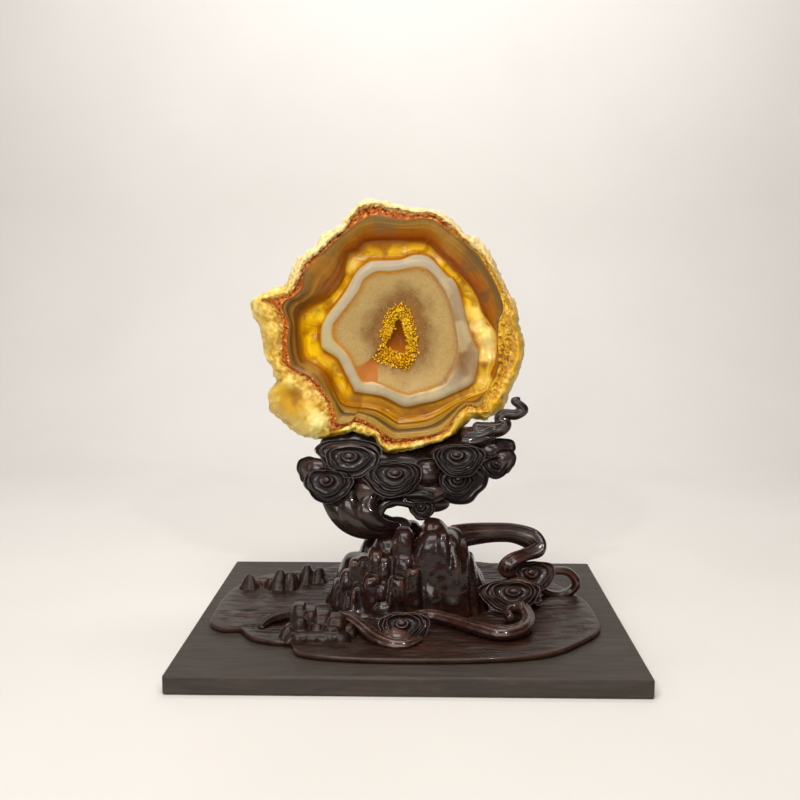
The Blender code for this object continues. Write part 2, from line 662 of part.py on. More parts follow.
FRONT_ROUTE = [
    (63, -25, 11), (65, -38, 8.5), (60, -52, 7.5), (48, -57, 7), (36, -49, 7), (23, -37, 7),
    (11, -31, 7.5), (0, -38, 7.5)]
FRONT_RADII = [3.6, 4.0, 4.2, 4.0, 3.8, 3.6, 3.6, 4.0]
LOWER_ROUTE = [
    (-40, -30, 6.5), (-32, -36, 7), (-25, -46, 6.5), (-18, -58, 6.5), (-9, -66, 6.5), (0, -65, 6.5),
    (6, -58, 7)]
LOWER_RADII = [3.0, 3.6, 3.8, 4.0, 4.0, 3.4, 2.0]


# Its cloud head's boss, and the lump below it
FRONT_BOSS = (-3.5, -52, 10)
FRONT_MASS = ((-6, -50, 5), (9, 14, 6))
FRONT_TRIANGLES = 800


def make_front_ribbon(collection, cutters, material, right, mountain):
    shapes = [ribbon(FRONT_ROUTE, FRONT_RADII, 1.3, collection, 2)]
    shapes.append(ribbon(LOWER_ROUTE, LOWER_RADII, 1.3, collection, 2))
    shapes += cloud_head(FRONT_BOSS, 26, 18, 3, collection, 0, 30, 2.4)
    shapes.append(ball(*FRONT_MASS, collection))
    piece = melt_shapes(shapes, "cloud_ribbon_front", collection, material, RIBBON_GRAIN, FRONT_TRIANGLES)
    cut_to_fit(piece, [right, mountain], cutters)
    return piece


# The carved ground seen from above, clockwise from its left tip
GROUND_OUTLINE = [
    (-111, -30), (-112, -8), (-112, 12), (-109, 32), (-103, 48), (-92, 60), (-76, 67), (-58, 74),
    (-44, 86), (-20, 92), (10, 93), (40, 93), (60, 84), (78, 62), (94, 38), (104, 12), (106, -14),
    (104, -38), (92, -56), (72, -74), (40, -82), (0, -84), (-34, -82), (-56, -76), (-62, -62),
    (-72, -60), (-84, -54), (-93, -41), (-103, -41)]
GROUND_ROCKS = [
    ((-99, 31), (6, 6), 10, 6, 0.45), ((-78, 32), (9, 8), 14, 7, 0.5), ((-62, 46), (9, 8), 12, 7, 0.5),
    ((-59, -46), (6, 9), 17, 5, 0.6), ((-49, -48), (8, 9), 16, 6, 0.6), ((-39, -49), (8, 9), 12, 6, 0.7),
    ((-47, -53), (17, 10), 8, 7, 0.8)]
FOLD_ROUTE = [(-60, -24, 5), (-68, -27, 5.6), (-76, -33, 5), (-80, -42, 3.5)]
FOLD_RADII = [3.0, 3.4, 3.0, 2.0]


def make_ground(collection, material):
    shapes = [slab(GROUND_OUTLINE, BOARD_TOP + GAP, GROUND_TOP, collection, 1.0, "Z", 2)]
    for index, (middle, half, top, sides, taper) in enumerate(GROUND_ROCKS):
        shapes.append(rock(middle, half, top, collection, sides, taper, index + 20, 2.0))
    shapes.append(ribbon(FOLD_ROUTE, FOLD_RADII, 1.2, collection, 2))
    ground = join_shapes(shapes, "carved_ground", material)
    tidy_mesh(ground)
    return ground


def main():
    clear_scene()
    parts = new_collection("gobi_agate")
    cutters = new_collection("cutters")
    wood = new_material("carved hardwood", WOOD, 0.28)
    board_wood = new_material("board hardwood", BOARD_WOOD, 0.42)
    rind = new_material("agate", RIND_YELLOW, 0.35)
    druse = new_material("druse crystals", DRUSE_YELLOW, 0.15)
    agate = make_agate(parts, rind)
    make_druse(parts, druse)
    seat = make_seat(parts, cutters, wood, agate)
    mountain = make_mountain(parts, cutters, wood, seat)
    right = make_right_ribbon(parts, cutters, wood, mountain)
    front = make_front_ribbon(parts, cutters, wood, right, mountain)
    make_ground(parts, wood)
    make_board(parts, board_wood)


main()
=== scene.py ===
# Gobi agate on its carved stand: the fine shapes and the finishes, round the fixed frame.
# Lengths are millimetres in the dictionaries and metres in Blender; mm turns one into the other.
import math
import random

import bpy
import numpy as np
from mathutils import Matrix, Vector, noise


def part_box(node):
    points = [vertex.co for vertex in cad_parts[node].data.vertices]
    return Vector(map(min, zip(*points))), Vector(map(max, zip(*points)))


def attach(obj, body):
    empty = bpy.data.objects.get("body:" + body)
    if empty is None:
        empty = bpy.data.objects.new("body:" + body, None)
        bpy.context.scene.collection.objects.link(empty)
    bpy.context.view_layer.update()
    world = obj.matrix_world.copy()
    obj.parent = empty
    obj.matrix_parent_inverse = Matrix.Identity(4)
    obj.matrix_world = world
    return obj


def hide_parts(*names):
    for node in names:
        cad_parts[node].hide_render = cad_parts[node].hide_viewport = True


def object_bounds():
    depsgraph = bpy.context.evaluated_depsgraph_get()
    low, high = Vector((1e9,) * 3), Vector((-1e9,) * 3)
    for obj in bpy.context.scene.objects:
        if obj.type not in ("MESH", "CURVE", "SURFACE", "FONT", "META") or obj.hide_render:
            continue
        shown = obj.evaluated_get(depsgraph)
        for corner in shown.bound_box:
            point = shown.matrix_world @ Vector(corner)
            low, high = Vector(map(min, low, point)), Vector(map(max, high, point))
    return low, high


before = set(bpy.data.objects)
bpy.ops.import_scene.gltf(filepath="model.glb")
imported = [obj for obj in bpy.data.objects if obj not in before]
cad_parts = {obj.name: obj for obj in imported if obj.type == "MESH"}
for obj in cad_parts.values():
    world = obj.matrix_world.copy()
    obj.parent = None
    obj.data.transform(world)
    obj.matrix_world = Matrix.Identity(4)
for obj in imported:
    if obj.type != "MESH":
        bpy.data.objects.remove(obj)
cadLow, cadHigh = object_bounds()
mm = 0.001
print("frame loaded:", len(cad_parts), "nodes")


# Working with objects

def deselectAll():
    if bpy.context.object and bpy.context.object.mode != "OBJECT":
        bpy.ops.object.mode_set(mode="OBJECT")
    bpy.ops.object.select_all(action="DESELECT")


def makeActive(piece):
    deselectAll()
    piece.select_set(True)
    bpy.context.view_layer.objects.active = piece


def applyModifier(piece, kind, **values):
    makeActive(piece)
    modifier = piece.modifiers.new(kind.lower(), kind)
    for name, value in values.items():
        setattr(modifier, name, value)
    bpy.ops.object.modifier_apply(modifier=modifier.name)


def joinPieces(pieces, name):
    deselectAll()
    for piece in pieces:
        piece.select_set(True)
    bpy.context.view_layer.objects.active = pieces[0]
    if len(pieces) > 1:
        bpy.ops.object.join()
    joined = bpy.context.object
    bpy.ops.object.transform_apply(location=True, rotation=True, scale=True)
    joined.name = name
    joined.data.name = name
    return joined


def getPoints(piece, what="co"):
    points = np.zeros(len(piece.data.vertices) * 3)
    piece.data.vertices.foreach_get(what, points)
    return points.reshape(-1, 3)


def setPoints(piece, points):
    piece.data.vertices.foreach_set("co", points.ravel())
    piece.data.update()


def readPoints(piece, name):
    values = np.zeros(len(piece.data.vertices))
    piece.data.attributes[name].data.foreach_get("value", values)
    return values


def addAttribute(piece, name, values, kind="FLOAT"):
    attribute = piece.data.attributes.new(name, kind, "POINT")
    attribute.data.foreach_set("vector" if kind == "FLOAT_VECTOR" else "value", np.ravel(values))


def rolledGrid(name, around, rings):
    # A flat grid to be rolled up: its share of the way from the first end to the last, and its turn
    bpy.ops.mesh.primitive_grid_add(x_subdivisions=around, y_subdivisions=rings + 1, size=1.0)
    piece = bpy.context.object
    piece.name = name
    points = getPoints(piece)
    return piece, points[:, 1] + 0.5, points[:, 0] * 2 * math.pi


def closeUp(piece):
    # Joins the seam and the ends of a rolled grid
    makeActive(piece)
    bpy.ops.object.mode_set(mode="EDIT")
    bpy.ops.mesh.select_all(action="SELECT")
    bpy.ops.mesh.remove_doubles(threshold=0.000001)
    bpy.ops.mesh.normals_make_consistent(inside=False)
    bpy.ops.object.mode_set(mode="OBJECT")


def meltTogether(pieces, name, grain, rounds):
    joined = joinPieces(pieces, name)
    applyModifier(joined, "REMESH", mode="VOXEL", voxel_size=grain * mm)
    applyModifier(joined, "SMOOTH", factor=0.5, iterations=rounds)
    return joined


def roughen(piece, kind, size, height, group="", depth=2):
    texture = bpy.data.textures.new(piece.name + kind, kind)
    texture.noise_scale = size * mm
    if kind == "CLOUDS":
        texture.noise_depth = depth
    applyModifier(piece, "DISPLACE", texture=texture, strength=height * mm, mid_level=0.5,
                  vertex_group=group, texture_coords="LOCAL")
    bpy.data.textures.remove(texture)


def groove(piece, width, length, height):
    # Upright rounded folds with sharp creases between them
    points, normals = getPoints(piece), getPoints(piece, "normal")
    scaled = points / mm / (width, width, length)
    scaled[:, 0] += 0.25 * np.sin(points[:, 2] / mm / length * 4)
    folds = np.array([abs(noise.noise(Vector(place))) for place in scaled])
    upright = 1 - np.abs(normals[:, 2]) ** 2
    setPoints(piece, points + normals * ((folds * 2 - 0.4) * upright * height * mm)[:, None])


def cutBelow(piece, height):
    makeActive(piece)
    bpy.ops.object.mode_set(mode="EDIT")
    bpy.ops.mesh.select_all(action="SELECT")
    bpy.ops.mesh.bisect(plane_co=(0, 0, height), plane_no=(0, 0, 1), use_fill=True, clear_inner=True)
    bpy.ops.object.mode_set(mode="OBJECT")


def markRelief(piece, reach, gain):
    # How far each point stands out of its neighbourhood, kept as the attribute "relief"
    mesh = piece.data
    edges = np.zeros(len(mesh.edges) * 2, int)
    mesh.edges.foreach_get("vertices", edges)
    first, second = edges[0::2], edges[1::2]
    points, normals = getPoints(piece), getPoints(piece, "normal")
    count = np.bincount(edges, minlength=len(points))[:, None] + 1.0
    smoothed = points.copy()
    for _ in range(reach):
        total = smoothed.copy()
        for axis in range(3):
            total[:, axis] += np.bincount(first, smoothed[second, axis], len(points))
            total[:, axis] += np.bincount(second, smoothed[first, axis], len(points))
        smoothed = total / count
    relief = ((points - smoothed) * normals).sum(1) / mm * gain
    addAttribute(piece, "relief", np.clip(relief * 0.5 + 0.5, 0, 1))


def between(points, place):
    # The smooth curve through the points at place, a whole number being a point of the list
    last = len(points) - 1
    start = min(last - 1, int(place)) if last else 0
    a, b, c, d = (np.array(points[min(last, max(0, start + k))], float) for k in (-1, 0, 1, 2))
    t = place - start
    return 0.5 * (2 * b + (c - a) * t + (2 * a - 5 * b + 4 * c - d) * t * t
                  + (3 * b - a - 3 * c + d) * t ** 3)


def smoothSteps(values, places, at):
    # A curve through the values that never overshoots them, read at the given places
    places, values = np.array(places, float), np.array(values, float)
    gaps = np.diff(places)
    slopes = np.diff(values) / gaps
    tangents = np.zeros(len(values))
    same = slopes[:-1] * slopes[1:] > 0
    weights = 3 * (gaps[:-1] + gaps[1:])
    with np.errstate(divide="ignore", invalid="ignore"):
        mean = weights / ((2 * gaps[1:] + gaps[:-1]) / slopes[:-1]
                          + (gaps[1:] + 2 * gaps[:-1]) / slopes[1:])
    tangents[1:-1] = np.where(same, mean, 0.0)
    at = np.clip(at, places[0], places[-1])
    k = np.clip(np.searchsorted(places, at, side="right") - 1, 0, len(gaps) - 1)
    t = (at - places[k]) / gaps[k]
    return (values[k] * (1 + 2 * t) * (1 - t) ** 2 + tangents[k] * gaps[k] * t * (1 - t) ** 2
            + values[k + 1] * t * t * (3 - 2 * t) + tangents[k + 1] * gaps[k] * t * t * (t - 1))


# Building materials

def colour(red, green, blue):
    channels = [value / 255 for value in (red, green, blue)]
    return tuple(c / 12.92 if c <= 0.04045 else ((c + 0.055) / 1.055) ** 2.4 for c in channels) + (1.0,)


class SurfaceValue:
    # A number that changes over a surface: + - * and / on it add Math nodes
    def __init__(self, socket):
        self.socket = socket

    def calculate(self, operation, first, second):
        node = addNode(self.socket.id_data, "Math", {0: first, 1: second}, operation=operation)
        return SurfaceValue(node.outputs[0])

    def __add__(self, other):
        return self.calculate("ADD", self, other)

    def __sub__(self, other):
        return self.calculate("SUBTRACT", self, other)

    def __rsub__(self, other):
        return self.calculate("SUBTRACT", other, self)

    def __mul__(self, other):
        return self.calculate("MULTIPLY", self, other)

    def __truediv__(self, other):
        return self.calculate("DIVIDE", self, other)

    __radd__, __rmul__ = __add__, __mul__


def link(value, socket):
    socket.id_data.links.new(getattr(value, "socket", value), socket)


def addNode(tree, kind, inputs=None, **settings):
    node = tree.nodes.new("ShaderNode" + kind)
    for name, value in settings.items():
        setattr(node, name, value)
    for name, value in (inputs or {}).items():
        if isinstance(value, (bpy.types.NodeSocket, SurfaceValue)):
            link(value, node.inputs[name])
        else:
            node.inputs[name].default_value = value
    return node


def held(value):
    # The same value, kept between 0 and 1
    value.socket.node.use_clamp = True
    return value


def axes(tree, vector):
    return [SurfaceValue(socket) for socket in addNode(tree, "SeparateXYZ", {"Vector": vector}).outputs]


def joinAxes(tree, x, y, z):
    return addNode(tree, "CombineXYZ", {"X": x, "Y": y, "Z": z}).outputs[0]


def mix(tree, factor, first, second, blend="MIX"):
    node = addNode(tree, "Mix", {0: factor, 6: first, 7: second}, data_type="RGBA", blend_type=blend)
    return node.outputs[2]


def tinted(tree, factor, shade, tone):
    return mix(tree, factor, shade, colour(*tone))


def step(tree, value, low, high, toLow=0.0, toHigh=1.0):
    inputs = {"Value": value, "From Min": low, "From Max": high, "To Min": toLow, "To Max": toHigh}
    return SurfaceValue(addNode(tree, "MapRange", inputs, interpolation_type="SMOOTHSTEP").outputs[0])


def grainNoise(tree, vector, scale, detail=3.0, roughness=0.5, distortion=0.0):
    inputs = {"Vector": vector, "Scale": scale, "Detail": detail, "Roughness": roughness,
              "Distortion": distortion}
    return SurfaceValue(addNode(tree, "TexNoise", inputs).outputs["Fac"])


def cells(tree, vector, scale):
    return SurfaceValue(addNode(tree, "TexVoronoi", {"Vector": vector, "Scale": scale}).outputs["Distance"])


def specks(tree, vector, scale):
    # A tone of its own for each small grain
    return axes(tree, addNode(tree, "TexVoronoi", {"Vector": vector, "Scale": scale}).outputs["Color"])[0]


def stretched(tree, vector, scale, turn):
    return addNode(tree, "Mapping", {"Vector": vector, "Scale": scale, "Rotation": turn}).outputs[0]


def ramp(tree, factor, stops):
    node = addNode(tree, "ValToRGB", {"Fac": factor})
    while len(node.color_ramp.elements) < len(stops):
        node.color_ramp.elements.new(1.0)
    for element, (place, shade) in zip(node.color_ramp.elements, stops):
        element.position = place
        element.color = colour(*shade)
    return node.outputs[0]


def objectPlace(tree):
    return addNode(tree, "TexCoord").outputs["Object"]


def readAttribute(tree, name):
    return SurfaceValue(addNode(tree, "Attribute", attribute_name=name).outputs["Fac"])


def newMaterial(name, constants):
    material = bpy.data.materials.new(name)
    material.use_nodes = True
    shader = material.node_tree.nodes["Principled BSDF"]
    for socket, value in constants.items():
        shader.inputs[socket].default_value = value
    return material, material.node_tree, shader


def finishSurface(tree, shader, shade, rough, height, distance, strength):
    link(shade, shader.inputs["Base Color"])
    link(rough, shader.inputs["Roughness"])
    bump = addNode(tree, "Bump", {"Height": height, "Distance": distance * mm, "Strength": strength})
    link(bump.outputs[0], shader.inputs["Normal"])


# Camera, light, floor and backdrop

view = {
    "eye": (7.1, -565.7, 202.3), "pitch": 6.907, "yaw": 1.292, "lens": 45.0, "sensor": 36.0,
    "floorReach": 900.0, "wallDistance": 760.0, "coveRadius": 300.0, "wallHeight": 1100.0,
    "wallShade": (230, 226, 221), "worldShade": (205, 208, 212), "worldStrength": 0.07,
}


def makeCamera():
    pitch, yaw = math.radians(view["pitch"]), math.radians(view["yaw"])
    forward = Vector((-math.sin(yaw) * math.cos(pitch), math.cos(yaw) * math.cos(pitch), -math.sin(pitch)))
    right = Vector((math.cos(yaw), math.sin(yaw), 0))
    matrix = Matrix((right, right.cross(forward), -forward)).transposed().to_4x4()
    matrix.translation = Vector(view["eye"]) * mm
    bpy.ops.object.camera_add()
    camera = bpy.context.object
    camera.matrix_world = matrix
    camera.data.lens = view["lens"]
    camera.data.sensor_width = view["sensor"]
    camera.data.clip_start = 0.01
    bpy.context.scene.camera = camera


lights = [
    # name, place, aimed at, width, height, watts, colour
    ("ceiling", (-60, -330, 980), (0, 0, 120), 760, 460, 6.0, (255, 251, 244)),
    ("front", (-200, -1000, 460), (0, 0, 150), 500, 320, 3.6, (255, 251, 244)),
    ("window", (-900, -420, 420), (0, 0, 120), 300, 600, 1.3, (240, 246, 255)),
    ("lampLeft", (-330, -700, 700), (0, 0, 160), 30, 30, 1.5, (255, 252, 246)),
    ("lampRight", (300, -640, 640), (0, 0, 150), 30, 30, 1.2, (255, 252, 246)),
    ("wallWash", (0, 260, 900), (0, 760, 300), 900, 200, 4.1, (250, 250, 252)),
]


def makeLights():
    for name, place, target, width, height, watts, shade in lights:
        bpy.ops.object.light_add(type="AREA", location=Vector(place) * mm)
        lamp = bpy.context.object
        lamp.name = name
        lamp.data.shape = "RECTANGLE"
        lamp.data.size, lamp.data.size_y = width * mm, height * mm
        lamp.data.energy = watts
        lamp.data.color = colour(*shade)[:3]
        aim = Vector(target) - Vector(place)
        lamp.rotation_euler = aim.to_track_quat("-Z", "Y").to_euler()
    world = bpy.data.worlds.new("room")
    world.use_nodes = True
    sky = world.node_tree.nodes["Background"]
    sky.inputs["Color"].default_value = colour(*view["worldShade"])
    sky.inputs["Strength"].default_value = view["worldStrength"]
    bpy.context.scene.world = world


def makeCove():
    # Floor and backdrop in one: a sheet that curves up behind the object
    reach, back, bend = (view[key] * mm for key in ("floorReach", "wallDistance", "coveRadius"))
    bpy.ops.mesh.primitive_plane_add(size=1.0)
    cove = bpy.context.object
    cove.name = "cove"
    setPoints(cove, np.array([[-reach, -reach, 0], [reach, -reach, 0], [-reach, back - bend, 0],
                              [reach, back - bend, 0]]))
    bpy.ops.object.mode_set(mode="EDIT")
    bpy.ops.mesh.select_mode(type="EDGE")
    bpy.ops.mesh.select_all(action="DESELECT")
    bpy.ops.object.mode_set(mode="OBJECT")
    for edge in cove.data.edges:
        edge.select = all(cove.data.vertices[i].co.y > 0 for i in edge.vertices)
    bpy.ops.object.mode_set(mode="EDIT")
    turns = 16
    for turn in range(turns):
        angle = math.radians(90) * (turn + 0.5) / turns
        stride = 2 * bend * math.sin(math.radians(90) / turns / 2)
        bpy.ops.mesh.extrude_region_move(TRANSFORM_OT_translate={
            "value": (0, stride * math.cos(angle), stride * math.sin(angle))})
    bpy.ops.mesh.extrude_region_move(TRANSFORM_OT_translate={
        "value": (0, 0, view["wallHeight"] * mm - bend)})
    bpy.ops.object.mode_set(mode="OBJECT")
    bpy.ops.object.shade_smooth()
    material, tree, shader = newMaterial("pale plaster", {"Roughness": 0.9})
    place = objectPlace(tree)
    tint = step(tree, grainNoise(tree, place, 6.0), 0.3, 0.7)
    low = tuple(value * 0.985 for value in view["wallShade"])
    link(mix(tree, tint, colour(*low), colour(*view["wallShade"])), shader.inputs["Base Color"])
    cove.data.materials.append(material)


bpy.context.scene.view_settings.view_transform = "Standard"  # colours as an ordinary camera shows them
makeCamera()
makeLights()
makeCove()
print("camera, light and floor ready")


# The stone

stone = {
    # size and place, as in the frame
    "rimWidth": 158.0, "rimPixels": 274.0, "rimCentre": (-7.2, 15.0, 172.8), "centrePixel": (398, 330),
    "backDepth": 50.0, "edgeDepth": 11.0, "roundReach": 122.0,
    # mesh: points round, and rings in each band from the back to the bottom of the hollow
    "segments": 600, "backRings": 44, "rings": (15, 13, 24, 20, 13, 22, 4),
    # depth behind the rim at places along the bands; whole numbers are the outlines below
    "bands": (1.0, 1.15, 1.4, 1.68, 2.0, 2.5, 3.0, 3.33, 3.66, 4.0, 4.35, 4.8, 5.0, 5.2, 5.5, 5.85, 6.0,
              6.2, 6.55, 7.0, 7.38, 7.7, 8.0),
    "depths": (11, 4.6, 1.2, 0, 0.8, 2.6, 1.5, 3.5, 7, 11, 13.2, 13, 10.9, 9.8, 9.4, 9.6, 10.4,
               11.0, 12.2, 14.5, 17.6, 19.6, 20.2),
    # how far the fine terraces of the wall and the floor of the channel sway
    "wallSway": 0.55, "moatSway": 0.9,
    # a break at the lower left: its turn in degrees, how far it fades, how far the left part stands out
    "fracture": (-116.0, 40.0, 3.2),
    # places where the rind is smooth and waxy
    "calm": (((292, 408), 24, 0.6), ((266, 345), 16, 0.4)),
    # roughness: kind, size, height, where, detail
    "texture": (("CLOUDS", 5.5, 2.3, "rind", 2), ("CLOUDS", 15.0, 3.0, "rind", 2),
                ("VORONOI", 3.2, 1.1, "fineRind", 2), ("CLOUDS", 1.5, 0.9, "fineRind", 2),
                ("VORONOI", 1.5, 1.5, "crumble", 2), ("CLOUDS", 0.9, 0.9, "crumble", 1),
                ("CLOUDS", 2.2, 0.35, "wall", 2)),
    # lumps (+) and dimples (-) seen from the front: pixel, radius in pixels, height
    "rindLumps": (((302, 418), 20, 4.0), ((288, 400), 11, -4.5), ((268, 402), 8, 1.5), ((262, 314), 13, 2.5),
                  ((268, 352), 10, -2.0), ((290, 386), 7, 2.0), ((316, 428), 9, 2.0), ((355, 418), 9, -3.0),
                  ((344, 424), 8, 2.0), ((518, 330), 12, -1.5), ((470, 240), 9, 1.5), ((498, 400), 12, 1.5),
                  ((420, 449), 7, 2.4), ((392, 452), 7, 2.4), ((345, 433), 7, 2.0), ((310, 438), 9, 2.5),
                  ((450, 440), 7, 2.0), ((470, 421), 8, 1.6)),
    "moatLumps": (((486, 337), 10, 3.2), ((488, 362), 10, 3.0), ((485, 386), 9, 2.0), ((318, 330), 8, -1.0),
                  ((352, 268), 12, 1.0), ((345, 395), 12, 1.0), ((446, 262), 12, 1.0)),
}

# Outlines of the bands, picked off the photograph in its pixels
silhouette = (
    (398, 206), (440, 214), (468, 237), (475, 238), (490, 253), (508, 291), (517, 304), (519, 326),
    (524, 348), (524, 358), (519, 375), (511, 390), (505, 410), (490, 418), (488, 421), (472, 421),
    (455, 437), (448, 441), (420, 451), (388, 456), (383, 453), (373, 441), (366, 440), (352, 434),
    (347, 436), (333, 440), (317, 442), (311, 441), (294, 435), (271, 417), (267, 410), (265, 396),
    (268, 390), (275, 383), (275, 379), (272, 376), (271, 368), (263, 357), (260, 337), (250, 308),
    (256, 297), (274, 288), (281, 287), (286, 283), (297, 262), (302, 256), (314, 246), (324, 234),
    (337, 227), (343, 226), (345, 220), (362, 202), (370, 200), (386, 202))
rindEdge = (
    (398, 210), (412, 214), (430, 214), (438, 217), (456, 230), (462, 238), (480, 252), (485, 258),
    (504, 291), (510, 305), (512, 312), (510, 318), (517, 347), (516, 357), (502, 386), (491, 402),
    (488, 411), (472, 409), (465, 411), (456, 419), (446, 436), (389, 448), (376, 434), (363, 428),
    (352, 426), (333, 432), (329, 430), (328, 410), (325, 404), (306, 381), (288, 370), (280, 360),
    (280, 323), (270, 305), (262, 300), (282, 296), (288, 293), (295, 284), (306, 262), (321, 250),
    (330, 240), (345, 229), (352, 216), (363, 207), (378, 205), (392, 210))
crumbleEdge = (
    (370, 217), (380, 216), (400, 220), (420, 219), (430, 220), (437, 223), (470, 248), (481, 259),
    (495, 282), (503, 303), (503, 312), (499, 325), (499, 365), (496, 378), (487, 393), (483, 406),
    (470, 405), (463, 408), (440, 434), (400, 441), (393, 441), (383, 435), (371, 426), (358, 420),
    (354, 419), (350, 424), (338, 425), (335, 422), (332, 408), (321, 390), (312, 379), (293, 369),
    (289, 364), (286, 343), (288, 328), (287, 321), (281, 309), (282, 303), (286, 299), (292, 297),
    (301, 288), (303, 275), (309, 265), (355, 225))
wallFoot = (
    (358, 248), (370, 240), (420, 240), (428, 243), (434, 247), (465, 280), (476, 296), (483, 313),
    (497, 332), (498, 348), (496, 363), (492, 373), (494, 380), (491, 387), (486, 392), (460, 403),
    (430, 420), (402, 424), (395, 422), (376, 411), (345, 406), (336, 396), (327, 375), (317, 366),
    (304, 358), (301, 343), (300, 316), (326, 297), (336, 287), (343, 276), (347, 257), (351, 251))
ringOutside = (
    (375, 261), (400, 260), (415, 255), (430, 258), (447, 276), (453, 279), (460, 294), (470, 333),
    (478, 349), (479, 355), (476, 377), (472, 384), (466, 388), (440, 400), (422, 404), (404, 407),
    (383, 397), (358, 393), (353, 389), (340, 363), (335, 357), (323, 349), (321, 345), (321, 330),
    (326, 317), (343, 295), (357, 272), (368, 263))
ringInside = (
    (378, 272), (392, 272), (416, 268), (423, 269), (430, 272), (439, 282), (450, 302), (459, 350),
    (448, 379), (445, 384), (431, 390), (415, 394), (405, 395), (375, 383), (361, 381), (348, 355),
    (334, 340), (333, 327), (336, 321), (358, 293), (363, 282), (368, 277))
hollowEdge = (
    (402, 307), (407, 313), (410, 321), (416, 348), (414, 357), (405, 369), (392, 364), (378, 360),
    (376, 355), (383, 343), (387, 320), (390, 314), (396, 309))
stoneOutlines = (silhouette, rindEdge, crumbleEdge, wallFoot, ringOutside, ringInside, hollowEdge)
pixel = stone["rimWidth"] / stone["rimPixels"]


def turnsAndReach(outline, centre, upward):
    # The smooth closed curve through an outline, as reach at each turn round the centre
    around = list(outline[-2:]) + list(outline) + list(outline[:3])
    places = np.arange(2, len(outline) + 2, 0.125)
    curve = np.array([between(around, place) for place in places]) - np.array(centre)
    turns = np.arctan2(upward * curve[:, 1], curve[:, 0])
    order = np.argsort(turns)
    return turns[order], np.hypot(curve[:, 0], curve[:, 1])[order]


stoneCurves = [turnsAndReach(outline, stone["centrePixel"], -1) for outline in stoneOutlines]


def radiusAt(index, angles):
    return np.interp(angles, *stoneCurves[index], period=2 * math.pi)


def alongSight(x, z, depth):
    # From the plane of the rim back along the line of sight, so that outlines fall where they are seen
    eye = np.array(view["eye"])
    centre = stone["rimCentre"]
    rim = np.stack([centre[0] + x, np.full_like(x, centre[1]), centre[2] + z], -1)
    return eye + (rim - eye) * (1 + depth / (centre[1] - eye[1]))[..., None]


def lumpHeight(lumps, x, z):
    total = np.zeros_like(x)
    for (px, py), radius, lift in lumps:
        across = x / pixel - (px - stone["centrePixel"][0])
        up = z / pixel + (py - stone["centrePixel"][1])
        total += lift * np.exp(-(across ** 2 + up ** 2) / radius ** 2)
    return total


def bump01(band, low, high, soft):
    # 1 between low and high, falling to 0 over soft on either side
    return np.clip((band - low) / soft + 1, 0, 1) * np.clip((high - band) / soft + 1, 0, 1)


def faceReach(band, angles):
    outer = np.clip(np.floor(band).astype(int), 1, 7)
    share = band - outer
    radii = np.array([radiusAt(index, angles) for index in range(7)] + [np.zeros_like(angles)])
    column = np.arange(len(angles))
    first, second = radii[outer - 1, column], radii[np.minimum(outer, 7), column]
    return pixel * ((1 - share) * first + share * second)


def facePoints(band, angles):
    reach = faceReach(band, angles)
    x, z = reach * np.cos(angles), reach * np.sin(angles)
    depth = smoothSteps(stone["depths"], stone["bands"], band)
    onRind = np.clip(1 - np.abs(band - 1.6), 0, 1) * (band < 2.05)
    depth = depth - onRind * lumpHeight(stone["rindLumps"], x, z)
    depth = depth - bump01(band, 4.25, 4.8, 0.25) * lumpHeight(stone["moatLumps"], x, z)
    turn, fade, lift = stone["fracture"]
    past = turn - np.degrees(angles)
    broken = np.clip(past / 1.2, 0, 1) * np.clip((fade - past) / fade, 0, 1)
    depth = depth - bump01(band, 2.3, 3.9, 0.3) * lift * broken
    return alongSight(x, z, depth)


def backPoints(share, angles):
    # share runs from 0 at the middle of the back to 1 at the silhouette
    turn = math.pi / 2 * share
    scale = np.sin(turn) ** 0.6
    kept = scale ** 3
    reach = pixel * scale * (kept * radiusAt(0, angles) + (1 - kept) * stone["roundReach"])
    depth = stone["edgeDepth"] + (stone["backDepth"] - stone["edgeDepth"]) * np.cos(turn)
    x, z = reach * np.cos(angles), reach * np.sin(angles)
    weight = np.clip((depth - 8.0) / 12.0, 0, 1)
    swell = np.array([5.0 * noise.noise(place) + 2.0 * noise.noise(place * 2.3)
                      for place in (Vector(p) / 26.0 for p in np.stack([x, depth, z], -1))]) * weight
    more = 1 + 0.012 * np.minimum(0, swell)
    return alongSight(x * more, z * more, depth + swell * np.clip((0.94 - share) * 8, 0, 1))


